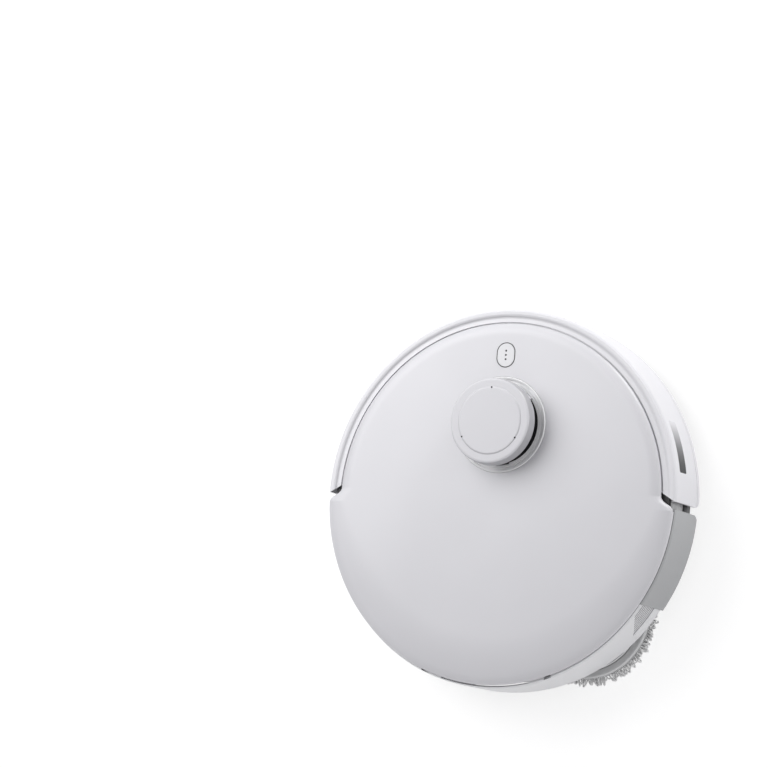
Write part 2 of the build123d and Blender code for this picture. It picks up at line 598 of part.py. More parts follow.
def exhaust_grille():
    """Louvres in front of a sunk frame, let into the rear wall."""
    outer = REAR_RADIUS - REAR_DRAFT - GAP
    inner = SHELL_RADIUS - REAR_BACK - SNUG
    back = outer - GRILLE_SINK
    grille = rear_sweep([(inner, GRILLE_LOW), (back, GRILLE_LOW), (back, GRILLE_HIGH), (inner, GRILLE_HIGH)])
    grille -= grille_prism(GRILLE_FRAME)
    pitch = (GRILLE_HIGH - GRILLE_LOW) / LOUVRE_COUNT
    for index in range(LOUVRE_COUNT):
        low = GRILLE_LOW + pitch * index + 0.4
        grille += rear_sweep([(back - 1.0, low + LOUVRE_DROP), (outer, low), (outer, low + LOUVRE_THICK),
                              (back - 1.0, low + LOUVRE_DROP + LOUVRE_THICK)])
    return grille & grille_prism(SEAM)


def turret_base():
    """Stepped ring round the rotor, with slots for the legs of the cap."""
    pocket = TURRET_FLOOR + 9.0
    outline = [(SHAFT_RADIUS + FIT, TURRET_FLOOR), (TURRET_RADIUS, TURRET_FLOOR),
               (TURRET_RADIUS, COVER_TOP + 0.3), (TURRET_RADIUS - 0.8, COVER_TOP + 0.9),
               (COLLAR_RADIUS + 2.2, COVER_TOP + 0.5),
               (COLLAR_RADIUS + 2.0, COVER_TOP - 1.4), (COLLAR_RADIUS, COVER_TOP - 1.2),
               (COLLAR_RADIUS - 0.4, COVER_TOP), (ROTOR_RADIUS + PIT_GAP, COVER_TOP),
               (ROTOR_RADIUS + PIT_GAP, pocket), (SHAFT_RADIUS + FIT, pocket)]
    ring = Pos(0, TURRET_Y, 0) * turned(outline)
    inner = ROTOR_RADIUS + PIT_GAP - 0.5
    slot = [(inner, TURRET_FLOOR + 1.5), (LEG_OUTER + GAP, TURRET_FLOOR + 1.5), (LEG_OUTER + GAP, REACH / 4),
            (inner, REACH / 4)]
    for angle in LEG_ANGLES:
        ring -= Pos(0, TURRET_Y, 0) * turned(slot, angle - LEG_HALF - 0.6, angle + LEG_HALF + 0.6)
    notch = [(inner, COVER_TOP - 4.0), (LEG_OUTER + GAP, COVER_TOP - 4.0), (LEG_OUTER + GAP, REACH / 4),
             (inner, REACH / 4)]
    return ring - Pos(0, TURRET_Y, 0) * turned(notch, LEG_ANGLES[0], NOTCH_END)


def turret_cap():
    """Round cap on three legs. It gives way when something presses it."""
    foot = CAP_RADIUS + CAP_FLARE
    rim = CAP_TOP - CAP_DISC_RISE
    outline = [(CAP_RADIUS - CAP_WALL - 0.6, CAP_FOOT), (foot - 0.4, CAP_FOOT), (foot, CAP_FOOT + 0.6),
               (CAP_RADIUS, rim - 2.4), (CAP_RADIUS - 0.2, rim - 1.3), (CAP_RADIUS - 0.8, rim - 0.5),
               (CAP_RADIUS - 1.7, rim - 0.1), (CAP_RADIUS - 2.6, rim), (CAP_DISC + 0.9, rim),
               (CAP_DISC, CAP_TOP - 0.2), (CAP_DISC - 0.9, CAP_TOP), (0, CAP_TOP),
               (0, CAP_TOP - CAP_ROOF), (CAP_RADIUS - CAP_WALL - 0.6, CAP_TOP - CAP_ROOF)]
    cap = turned(outline)
    leg_foot = TURRET_FLOOR + 1.5 + CAP_TRAVEL + GAP
    leg_head = CAP_TOP - 2.0
    leg = [(LEG_INNER, leg_foot), (LEG_OUTER, leg_foot), (LEG_OUTER, leg_head), (LEG_INNER, leg_head)]
    for angle in LEG_ANGLES:
        cap += turned(leg, angle - LEG_HALF, angle + LEG_HALF)
    for angle in (30.0, 150.0, 270.0):
        cap -= disc(CAP_DOT, CAP_TOP - 1.5, CAP_TOP + 1, polar(CAP_DISC, angle))
    return Pos(0, TURRET_Y, 0) * cap


def lidar_rotor():
    """Spinning head: a round plate with a lens block that has flat sides."""
    floor = TURRET_FLOOR + 9.0 + GAP
    top = floor + ROTOR_HEIGHT
    head = disc(ROTOR_RADIUS, floor, floor + 5.0)
    slab = Pos(0, 0, floor) * Box(REACH / 2, 2 * ROTOR_HALF, REACH / 4, align=ON_BASE)
    block = disc(ROTOR_RADIUS - 1.5, floor + 5.0, top) & slab
    block = fillet(block.edges().group_by(Axis.Z)[-1], 1.5)
    head += block + disc(SHAFT_RADIUS, TURRET_FLOOR + 1.0, floor)
    for x, radius in LENSES:
        head -= lens_bore(x, radius, top)
    return Pos(0, TURRET_Y, 0) * head


def lens_bore(x, radius, top):
    face = Plane(origin=(x, -ROTOR_HALF, top - 8.0), x_dir=(1, 0, 0), z_dir=(0, -1, 0))
    return extrude(face * Circle(radius), 4.0) + extrude(face * Circle(radius), -4.0)


def lidar_lenses():
    top = TURRET_FLOOR + 9.0 + GAP + ROTOR_HEIGHT
    lenses = []
    for x, radius in LENSES:
        face = Plane(origin=(x, 4.0 - ROTOR_HALF, top - 8.0), x_dir=(1, 0, 0), z_dir=(0, -1, 0))
        lens = extrude(face * Circle(radius), 3.0)
        lenses.append(Pos(0, TURRET_Y, 0) * fillet(lens.edges().group_by(Axis.Y)[0], 1.0))
    return Compound(children=lenses)


def lidar_motor():
    return disc(7.0, TURRET_FLOOR - WALL - 10.0, TURRET_FLOOR - WALL, (-30.0, TURRET_Y))


def dust_bin():
    plan = plan_box((-BIN_X, BIN_X), (BIN_FRONT, BIN_REAR), BIN_CORNER)
    top = BIN_TOP - LID_THICK
    tub = upright(plan, BIN_LOW, top)
    tub = fillet(tub.edges().group_by(Axis.Z)[0], 2.5)
    inner = plan_box((-BIN_X + BIN_WALL, BIN_X - BIN_WALL), (BIN_FRONT + BIN_WALL, BIN_REAR - BIN_WALL),
                     BIN_CORNER - BIN_WALL)
    tub -= upright(inner, BIN_LOW + BIN_WALL, REACH / 4)
    mouth = plan_box((-INLET[0] / 2, INLET[0] / 2), (BIN_FRONT - 1.0, BIN_FRONT + BIN_WALL + 1.0))
    return tub - upright(mouth, BIN_LOW + 5.0, BIN_LOW + 5.0 + INLET[1])


def dust_bin_lid():
    """Lid with a dished grip."""
    lid = upright(plan_box((-BIN_X, BIN_X), (BIN_FRONT, BIN_REAR), BIN_CORNER), BIN_TOP - LID_THICK, BIN_TOP)
    lid = fillet(lid.edges().group_by(Axis.Z)[-1], 1.0)
    grip = plan_box((-34.0, 34.0), (BIN_FRONT + 12.0, BIN_FRONT + 34.0), 10.0)
    return lid - upright(grip, BIN_TOP - 2.4, BIN_TOP + 1)


def dust_filter():
    """Pleated filter along the rear wall of the bin."""
    low = BIN_LOW + BIN_WALL + 0.2
    high = BIN_TOP - LID_THICK - 0.3
    half = BIN_X - 26.0
    back = BIN_REAR - BIN_WALL - 0.2
    pleats = 12
    step = 2 * half / pleats
    points = [(-half, back)]
    for index in range(pleats):
        points.append((-half + step * index, back - 4.0))
        points.append((-half + step * (index + 0.5), back - 10.0))
    points += [(half, back - 4.0), (half, back)]
    return upright(make_face(Polyline(*points, close=True)), low, high)


def battery():
    """Pack of cells that lies on the caster socket."""
    width, depth, height = BATTERY
    pack = upright(Pos(0, BATTERY_Y) * RectangleRounded(width, depth, 5.0), SOCKET_TOP, SOCKET_TOP + height)
    return fillet(pack.edges().group_by(Axis.Z)[-1], 2.0)


def mainboard():
    plan = Circle(BOARD_RADIUS) & plan_box((64.0, BOARD_RADIUS), (45.5 - SHELL_RADIUS, -50.0))
    board = upright(plan, BOARD_Z, BOARD_Z + BOARD_THICK)
    outer = SHELL_RADIUS - 39.5
    for x, y, width, depth, height in ((84.0, -84.0, 16.0, 16.0, 2.0), (outer - 22.0, -70.0, 12.0, 9.0, 3.0),
                                       (80.0, 59.5 - SHELL_RADIUS, 10.0, 14.0, 5.0),
                                       (outer, -60.0, 8.0, 8.0, 6.0)):
        board += Pos(x, y, BOARD_Z + BOARD_THICK) * Box(width, depth, height, align=ON_BASE)
    return board


def suction_fan():
    """Blower with its outlet against the exhaust grille."""
    low = MOP_CEILING + WALL
    case = disc(FAN_RADIUS, low, FAN_TOP, FAN)
    far = polar(SHELL_RADIUS - WALL - 2.0, GRILLE_ANGLE)
    middle = ((FAN[0] + far[0]) / 2, (FAN[1] + far[1]) / 2)
    run = math.hypot(far[0] - FAN[0], far[1] - FAN[1])
    angle = math.degrees(math.atan2(far[1] - FAN[1], far[0] - FAN[0]))
    duct = Pos(middle[0], middle[1], GRILLE_LOW) * Rot(0, 0, angle) * Box(run, *FAN_DUCT, align=ON_BASE)
    case += duct & disc(SHELL_RADIUS - WALL - GAP, 0, REACH / 4)
    return case - disc(8.0, FAN_TOP - 3.0, REACH / 4, FAN)


def water_tank():
    plan = Circle(TANK_RADIUS) & plan_box(TANK_X, (BAY_Y[1] + BAY_WALL + 3.0, REACH / 2))
    tank = upright(plan, TANK_LOW, DECK_LOW)
    return fillet(tank.edges().group_by(Axis.Z)[0], 2.0)


def brush_chamber():
    """Arched housing over the main brush, with a duct that rises to the bin."""
    arch = Pos(BRUSH_Y, BRUSH_Z) * Circle(CHAMBER_OUTER)
    arch += plan_box((BRUSH_Y - CHAMBER_OUTER, BRUSH_Y + CHAMBER_OUTER), (UNDERSIDE, BRUSH_Z))
    arch &= plan_box((-REACH, REACH), (UNDERSIDE, REACH))
    room = Pos(BRUSH_Y, BRUSH_Z) * Circle(CHAMBER_RADIUS)
    room += plan_box((BRUSH_Y - CHAMBER_RADIUS, BRUSH_Y + CHAMBER_RADIUS), (0, BRUSH_Z))
    half = CHAMBER_HALF - GAP
    housing = sideways(arch, -half, half)
    start = Plane(origin=(0, BRUSH_Y + CHAMBER_OUTER - 12.0, 34.0), x_dir=(1, 0, 0), z_dir=(0, 1, 0))
    end = Plane(origin=(0, BAY_Y[0] - BAY_WALL - 0.1, BIN_LOW + 5.0 + INLET[1] / 2), x_dir=(1, 0, 0),
                z_dir=(0, 1, 0))
    wide = INLET[0] + 2 * WALL
    housing += loft([start * Rectangle(wide, 18.0), end * Rectangle(wide, INLET[1] + 2 * WALL)])
    housing -= loft([start * Rectangle(INLET[0], 12.0), end * Rectangle(INLET[0], INLET[1])])
    housing -= sideways(room, -half + WALL, half - WALL)
    bearing = Pos(BRUSH_Y, BRUSH_Z) * Circle(BEARING_RADIUS)
    return housing - sideways(bearing, -REACH / 4, REACH / 4)


def brush_bearings():
    half = CHAMBER_HALF - GAP
    ring = Pos(BRUSH_Y, BRUSH_Z) * (Circle(BEARING_RADIUS) - Circle(BRUSH_PIN + FIT))
    bearing = sideways(ring, half - WALL, half)
    return Compound(children=[bearing, mirrored(bearing)])


def main_brush():
    """Roller with chevron fins: each fin is a helical blade, mirrored at the middle."""
    core = Cylinder(BRUSH_CORE, 2 * BRUSH_HALF) + Cylinder(BRUSH_PIN, 2 * (CHAMBER_HALF - GAP))
    mean = (BRUSH_CORE + BRUSH_RADIUS) / 2 - 0.4
    path = Helix(FIN_PITCH, BRUSH_HALF, mean)
    start = Plane(origin=path @ 0, x_dir=(1, 0, 0), z_dir=path % 0)
    blade = sweep(start * Rectangle(BRUSH_RADIUS - BRUSH_CORE + 0.8, FIN_THICK), path=path, is_frenet=True)
    blade &= Cylinder(BRUSH_RADIUS, 2 * BRUSH_HALF)
    for index in range(FIN_COUNT):
        turn = Rot(0, 0, 360 / FIN_COUNT * index)
        core += turn * blade
        core += turn * mirror(blade, about=Plane.XY)
    return Pos(0, BRUSH_Y, BRUSH_Z) * Rot(0, 90, 0) * core


def brush_guard():
    """Frame clipped round the brush mouth, with a comb along its rear edge."""
    outer = plan_box((-CHAMBER_HALF - 4.0, CHAMBER_HALF + 4.0),
                     (BRUSH_Y - CHAMBER_OUTER - 6.0, BRUSH_Y + CHAMBER_OUTER - 1.0), 8.0)
    half = CHAMBER_HALF - WALL - GAP
    opening = plan_box((-half, half), (BRUSH_Y - BRUSH_RADIUS - 1.2, BRUSH_Y + BRUSH_RADIUS + 1.2), 3.0)
    frame = upright(outer - opening, UNDERSIDE - GUARD_THICK, UNDERSIDE)
    frame = fillet(frame.edges().group_by(Axis.Z)[0], 0.8)
    return frame


def brush_gearbox():
    """Gear case on the left end of the main brush."""
    low_x = CHAMBER_HALF + GAP
    profile = plan_box((BRUSH_Y - 20.0, WELL_Y[0] - WELL_WALL - 2.0), (FLOOR_TOP, 40.0), 6.0)
    case = sideways(profile, low_x, low_x + 16.0)
    return case + sideways(Pos(BRUSH_Y - 34.0, FLOOR_TOP + 11.0) * Circle(11.0) +
                           plan_box((BRUSH_Y - 34.0, BRUSH_Y - 18.0), (FLOOR_TOP, FLOOR_TOP + 18.0)),
                           low_x, low_x + 16.0)


def side_brush_hub():
    hub = disc(SIDE_BRUSH_HUB, SIDE_BRUSH_LOW + 6.0, UNDERSIDE - GAP)
    hub = fillet(hub.edges().group_by(Axis.Z)[0], 2.0)
    hub += disc(SHAFT_RADIUS, SIDE_BRUSH_LOW + 8.0, SIDE_SEAT + 4.0)
    arm = plan_box((-SIDE_BRUSH_REACH * 0.55, SIDE_BRUSH_REACH * 0.55), (-3.5, 3.5), 3.4)
    hub += upright(arm, SIDE_BRUSH_LOW + 6.0, SIDE_BRUSH_LOW + 9.0)
    return Pos(*SIDE_BRUSH) * Rot(0, 0, side_brush_turn()) * hub


def side_brush_turn():
    """The arms lie along the tangent, inside the body's outline."""
    return math.degrees(math.atan2(SIDE_BRUSH[1], SIDE_BRUSH[0])) + 90.0


def side_brush_tufts():
    """Bristle tufts that fan out towards their tips."""
    near = SIDE_BRUSH_REACH * 0.3
    wedge = make_face(Polyline((near, -2.5), (SIDE_BRUSH_REACH, -7.0), (SIDE_BRUSH_REACH, 7.0), (near, 2.5),
                               close=True))
    tuft = upright(wedge, SIDE_BRUSH_LOW, SIDE_BRUSH_LOW + 5.9)
    place = Pos(*SIDE_BRUSH) * Rot(0, 0, side_brush_turn())
    return Compound(children=[place * tuft, place * Rot(0, 0, 180) * tuft])


def side_brush_motor():
    motor = disc(SIDE_MOTOR_RADIUS, SIDE_SEAT, SIDE_SEAT + SIDE_MOTOR_HEIGHT, SIDE_BRUSH)
    return motor - disc(SHAFT_RADIUS + FIT, 0, SIDE_SEAT + 5.0, SIDE_BRUSH)


def wheel_arm(left):
    """Gear case that swings about its pivot and carries the wheel on a stub axle."""
    plate = sideways(belt((PIVOT_Y, PIVOT_Z), ARM_TAIL, (0.0, WHEEL_RADIUS), ARM_NOSE), ARM_INNER, ARM_OUTER)
    plate = fillet(plate.edges().group_by(Axis.X)[0], 2.0)
    plate += sideways(Pos(0, WHEEL_RADIUS) * Circle(AXLE_RADIUS), ARM_OUTER, WHEEL_OUTER - 1.0)
    plate += sideways(Pos(0, WHEEL_RADIUS) * Circle(AXLE_RADIUS + 4.0), ARM_OUTER, WHEEL_INNER - GAP)
    plate += disc(SPRING_RADIUS + 2.0, WHEEL_RADIUS, spring_low(), (spring_x(), 0.0))
    plate -= sideways(Pos(PIVOT_Y, PIVOT_Z) * Circle(PIN_RADIUS + FIT), 0, REACH / 2)
    return plate if left else mirrored(plate)


def spring_x():
    return (ARM_INNER + ARM_OUTER) / 2


def spring_low():
    return WHEEL_RADIUS + ARM_NOSE + 1.0


def wheel_spring(left):
    """Coil that pushes the arm down."""
    low = spring_low() + SPRING_WIRE
    height = DECK_LOW - GAP - SPRING_WIRE - low
    path = Helix(height / SPRING_TURNS, height, SPRING_RADIUS)
    start = Plane(origin=path @ 0, x_dir=(1, 0, 0), z_dir=path % 0)
    wire = start * Rectangle(2 * SPRING_WIRE, 2 * SPRING_WIRE)
    coil = Pos(spring_x(), 0, low) * sweep(wire, path=path, is_frenet=True)
    return coil if left else mirrored(coil)


def suspension_pins():
    pin = sideways(Pos(PIVOT_Y, PIVOT_Z) * Circle(PIN_RADIUS), WELL_X[0] - WELL_WALL, ARM_OUTER + 0.5)
    pin += sideways(Pos(PIVOT_Y, PIVOT_Z) * Circle(PIN_RADIUS + 1.5), ARM_OUTER + 0.3, WHEEL_INNER - 0.2)
    return Compound(children=[pin, mirrored(pin)])


def wheel_hub(left):
    """Spoked hub with a dished outer face."""
    rim = WHEEL_RADIUS - TYRE_THICK
    half = WHEEL_WIDTH / 2
    section = [(AXLE_RADIUS + FIT, -half + 0.5), (AXLE_RADIUS + 6, -half + 0.5), (rim - 2.5, -half + 6.0),
               (rim - 2.5, -half + 1.0), (rim, -half + 1.0), (rim, half - 1.0), (rim - 2.5, half - 1.0),
               (rim - 3.5, half - 6.0), (AXLE_RADIUS + 6, half - 3.0), (AXLE_RADIUS + FIT, half - 3.0)]
    hub = turned(section)
    for index in range(6):
        hub -= disc(4.0, -half, half, polar(rim * 0.62, 60 * index))
    hub = Pos(WHEEL_X, 0, WHEEL_RADIUS) * Rot(0, 90, 0) * hub
    return hub if left else mirrored(hub)


def wheel_tyre(left):
    """Rubber tyre with slanted lugs."""
    half = WHEEL_WIDTH / 2
    rim = WHEEL_RADIUS - TYRE_THICK
    section = [(rim, -half), (WHEEL_RADIUS - 1.5, -half), (WHEEL_RADIUS, -half + 2.0),
               (WHEEL_RADIUS, half - 2.0), (WHEEL_RADIUS - 1.5, half), (rim, half)]
    tyre = turned(section)
    groove = Pos(WHEEL_RADIUS, 0, 0) * Rot(18, 0, 0) * Box(2 * LUG_DEPTH, 3.0, 2 * WHEEL_WIDTH)
    for index in range(LUG_COUNT):
        tyre -= Rot(0, 0, 360 / LUG_COUNT * (index + 0.5)) * groove
    tyre = Pos(WHEEL_X, 0, WHEEL_RADIUS) * Rot(0, 90, 0) * tyre
    return tyre if left else mirrored(tyre)


def caster_fork():
    """Swivelling cup with a slot for the roller."""
    cup = disc(FORK_RADIUS, FORK_LOW, FORK_TOP)
    cup = chamfer(cup.edges().group_by(Axis.Z)[0], 4.0)
    cup += disc(STEM_RADIUS, FORK_TOP, SOCKET_TOP)
    half = CASTER_WIDTH / 2 + GAP
    cup -= upright(plan_box((-half, half), (-FORK_RADIUS - 1, FORK_RADIUS + 1)), 0, 2 * CASTER_RADIUS + 2.0)
    cup -= sideways(Pos(CASTER_TRAIL, CASTER_RADIUS) * Circle(CASTER_AXLE), -REACH / 4, REACH / 4)
    return Pos(0, CASTER_Y, 0) * cup


def caster_axle():
    half = FORK_RADIUS - 5.0
    return Pos(0, CASTER_Y, 0) * sideways(Pos(CASTER_TRAIL, CASTER_RADIUS) * Circle(CASTER_AXLE), -half, half)


def caster_roller():
    half = CASTER_WIDTH / 2
    section = [(CASTER_AXLE + FIT, -half), (CASTER_RADIUS - 2.5, -half), (CASTER_RADIUS, -half + 2.5),
               (CASTER_RADIUS, half - 2.5), (CASTER_RADIUS - 2.5, half), (CASTER_AXLE + FIT, half)]
    return Pos(0, CASTER_Y + CASTER_TRAIL, CASTER_RADIUS) * Rot(0, 90, 0) * turned(section)


def mop_arm():
    """Arm that swings the right mop out past the body."""
    low = MOP_CEILING + WALL + GAP
    arm = upright(belt(MOP_ARM_PIVOT, MOP_ARM_WIDTH - 4.0, MOP_OUT, MOP_ARM_WIDTH), low, MOP_ARM_TOP)
    arm = fillet(arm.edges().group_by(Axis.Z)[-1], 1.5)
    arm -= disc(MOP_PIVOT_PIN + FIT, 0, REACH / 4, MOP_ARM_PIVOT)
    return arm - disc(MOP_SLEEVE + FIT, 0, REACH / 4, MOP_OUT)


def mop_drive_left():
    case = disc(MOP_ARM_WIDTH + 3.0, MOP_CEILING + WALL, MOP_ARM_TOP, MOP_LEFT)
    case = fillet(case.edges().group_by(Axis.Z)[-1], 1.5)
    return case - disc(MOP_SLEEVE + FIT, 0, REACH / 4, MOP_LEFT)


def mop_sleeve(at):
    """Sleeve with a splash shield. It moves up and down with the mop and doesn't turn."""
    low = MOP_PLATE_TOP + GAP
    sleeve = disc(MOP_SLEEVE, low, MOP_ARM_TOP - 0.5)
    sleeve += turned([(0, low), (MOP_SHIELD_RADIUS, low), (MOP_SHIELD_RADIUS, low + MOP_SHIELD_THICK - 0.5),
                      (MOP_SHIELD_RADIUS - 0.5, low + MOP_SHIELD_THICK), (0, low + MOP_SHIELD_THICK)])
    return Pos(*at) * (sleeve - disc(MOP_PEG + FIT, 0, MOP_PLATE_TOP + 14.0))


def mop_plate(at):
    """Drive plate with radial ribs round its peg."""
    plate = disc(MOP_PLATE_RADIUS, MOP_PAD_THICK, MOP_PLATE_TOP - 1.2)
    plate += turned([(MOP_RING_INNER, MOP_PLATE_TOP - 1.3), (MOP_PLATE_RADIUS, MOP_PLATE_TOP - 1.3),
                     (MOP_PLATE_RADIUS - 1.0, MOP_PLATE_TOP - 0.2), (MOP_PLATE_RADIUS - 2.0, MOP_PLATE_TOP),
                     (MOP_RING_INNER, MOP_PLATE_TOP)])
    for index in range(6):
        rib = upright(plan_box((MOP_SLEEVE + 4.0, MOP_RING_INNER + 1.0), (-1.0, 1.0)),
                      MOP_PLATE_TOP - 1.3, MOP_PLATE_TOP - 0.3)
        plate += Rot(0, 0, 60 * index) * rib
    plate += disc(MOP_PEG, MOP_PLATE_TOP - 1.3, MOP_PLATE_TOP + 13.5)
    return Pos(*at) * plate


def mop_pad(at):
    pad = disc(MOP_PAD_RADIUS, 0, MOP_PAD_THICK, at)
    return fillet(pad.edges().group_by(Axis.Z)[0], 1.5)


def underside_screws():
    screws = []
    for x, y in SCREW_PLACES:
        head = disc(SCREW_HEAD, UNDERSIDE - 0.4, UNDERSIDE + TRIM_DEPTH, (x, y))
        screws.append(head + disc(SCREW_SHANK, UNDERSIDE + TRIM_DEPTH, FLOOR_TOP, (x, y)))
    return Compound(children=screws)


def cliff_sensors():
    lenses = []
    for x, y in CLIFF_PLACES:
        plan = Pos(x, y) * RectangleRounded(*CLIFF_SIZE, 3.0)
        lenses.append(upright(plan, UNDERSIDE + 0.3, UNDERSIDE + TRIM_DEPTH))
    return Compound(children=lenses)


def charge_contacts():
    plates = []
    for x in (-CONTACT_X, CONTACT_X):
        plate = Pos(x, CONTACT_Y) * RectangleRounded(*CONTACT_SIZE, 2.0)
        plates.append(upright(plate, UNDERSIDE - 0.3, UNDERSIDE + TRIM_DEPTH))
    return Compound(children=plates)


def build_parts():
    side_window, front_window = bumper_windows()
    parts = {
        "base_shell": base_shell(),
        "deck": deck(),
        "caster_socket": caster_socket(),
        "mop_bay": mop_bay(),
        "top_cover": top_cover(),
        "start_button": start_button(),
        "bumper": bumper(),
        "bumper_side_window": window_pane(side_window),
        "bumper_front_window": window_pane(front_window),
        "bumper_buffers": bumper_buffers(),
        "rear_wall": rear_wall(),
        "exhaust_grille": exhaust_grille(),
        "turret_base": turret_base(),
        "turret_cap": turret_cap(),
        "lidar_rotor": lidar_rotor(),
        "lidar_lenses": lidar_lenses(),
        "lidar_motor": lidar_motor(),
        "dust_bin": dust_bin(),
        "dust_bin_lid": dust_bin_lid(),
        "dust_filter": dust_filter(),
        "battery": battery(),
        "mainboard": mainboard(),
        "suction_fan": suction_fan(),
        "water_tank": water_tank(),
        "brush_chamber": brush_chamber(),
        "brush_bearings": brush_bearings(),
        "main_brush": main_brush(),
        "brush_guard": brush_guard(),
        "brush_gearbox": brush_gearbox(),
        "side_brush_hub": side_brush_hub(),
        "side_brush_tufts": side_brush_tufts(),
        "side_brush_motor": side_brush_motor(),
        "suspension_pins": suspension_pins(),
        "caster_fork": caster_fork(),
        "caster_axle": caster_axle(),
        "caster_roller": caster_roller(),
        "mop_arm_right": mop_arm(),
        "mop_drive_left": mop_drive_left(),
        "underside_screws": underside_screws(),
        "cliff_sensors": cliff_sensors(),
        "charge_contacts": charge_contacts(),
    }
    for side, left in (("left", True), ("right", False)):
        parts["side_panel_" + side] = side_panel(left)
        parts["wheel_housing_" + side] = wheel_housing(left)
        parts["wheel_arm_" + side] = wheel_arm(left)
        parts["wheel_hub_" + side] = wheel_hub(left)
        parts["wheel_tyre_" + side] = wheel_tyre(left)
        parts["wheel_spring_" + side] = wheel_spring(left)
    for side, at in (("left", MOP_LEFT), ("right", MOP_OUT)):
        parts["mop_sleeve_" + side] = mop_sleeve(at)
        parts["mop_plate_" + side] = mop_plate(at)
        parts["mop_pad_" + side] = mop_pad(at)
    return parts


os.makedirs("parts", exist_ok=True)
for node, shape in build_parts().items():
    export_step(shape, os.path.join("parts", node + ".step"))
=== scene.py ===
"""Looks of a round robot vacuum with a laser turret, a sprung bumper and two spinning mops.

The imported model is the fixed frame. Each class below dresses the nodes of one sub-assembly and adds
the pieces that are only there to be seen, such as yarn, bristles, screw heads and indicator dots.
"""

import logging
import math
import random
from dataclasses import dataclass, field
from enum import Enum
from typing import Any, Callable, Mapping, Optional, Sequence, Union

import bpy
from mathutils import Matrix, Quaternion, Vector


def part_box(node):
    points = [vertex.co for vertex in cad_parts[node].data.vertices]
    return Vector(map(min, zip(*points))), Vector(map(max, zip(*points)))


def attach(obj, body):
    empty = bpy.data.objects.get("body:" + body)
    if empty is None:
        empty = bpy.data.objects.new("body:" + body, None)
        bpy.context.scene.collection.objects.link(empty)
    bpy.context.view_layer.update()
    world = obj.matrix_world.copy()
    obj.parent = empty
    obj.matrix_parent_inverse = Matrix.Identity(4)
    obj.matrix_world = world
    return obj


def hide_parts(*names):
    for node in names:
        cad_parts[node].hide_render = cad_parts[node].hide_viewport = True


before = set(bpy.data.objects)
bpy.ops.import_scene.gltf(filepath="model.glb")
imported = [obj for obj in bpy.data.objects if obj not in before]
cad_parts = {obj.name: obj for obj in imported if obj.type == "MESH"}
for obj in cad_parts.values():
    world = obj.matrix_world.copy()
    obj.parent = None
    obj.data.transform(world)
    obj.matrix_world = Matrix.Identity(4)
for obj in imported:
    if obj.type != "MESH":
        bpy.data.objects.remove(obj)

LOG = logging.getLogger("robot_vacuum")
MM = 0.001
TURRET_CENTRE = (0.0, -66.0 * MM)
UP = Vector((0.0, 0.0, 1.0))

Colour = tuple[float, float, float]
Key = Union[int, str]


class Slot(Enum):
    """Material slots of the record. Each added piece is handed one, but its finish is set directly."""

    BUTTON = "button_plastic"
    METAL = "pin_metal"
    BRISTLE = "bristle"
    MOP = "mop_fibre"
    DARK = "dark_plastic"
    CHASSIS = "chassis_plastic"


class Grain(Enum):
    """Tool textures of moulded plastic: size of the grain and its depth, in millimetres."""

    POLISHED = (6.0, 0.002)
    SATIN = (0.9, 0.004)
    SPARKED = (0.45, 0.014)
    COARSE = (0.8, 0.03)


# ---------------------------------------------------------------- shader maths


class Value:
    """One output of a shader node. Arithmetic on it adds Math nodes."""

    def __init__(self, tree: "ShaderTree", socket: bpy.types.NodeSocket) -> None:
        """Keep the tree and the socket.

        Args:
            tree: the tree that the socket belongs to.
            socket: the output socket.
        """
        self.tree = tree
        self.socket = socket

    def _math(self, operation: str, first: "Number", second: "Number") -> "Value":
        """Join two numbers with a Math node."""
        return self.tree.node("ShaderNodeMath", {"operation": operation}, {0: first, 1: second})

    def __add__(self, other: "Number") -> "Value":
        """Value plus number."""
        return self._math("ADD", self, other)

    def __radd__(self, other: "Number") -> "Value":
        """Number plus value."""
        return self._math("ADD", other, self)

    def __sub__(self, other: "Number") -> "Value":
        """Value minus number."""
        return self._math("SUBTRACT", self, other)

    def __rsub__(self, other: "Number") -> "Value":
        """Number minus value."""
        return self._math("SUBTRACT", other, self)

    def __mul__(self, other: "Number") -> "Value":
        """Value times number."""
        return self._math("MULTIPLY", self, other)

    def __rmul__(self, other: "Number") -> "Value":
        """Number times value."""
        return self._math("MULTIPLY", other, self)

    def __pow__(self, other: "Number") -> "Value":
        """Value to a power."""
        return self._math("POWER", self, other)

    def larger(self, other: "Number") -> "Value":
        """The larger of the two."""
        return self._math("MAXIMUM", self, other)


Number = Union[float, Value]


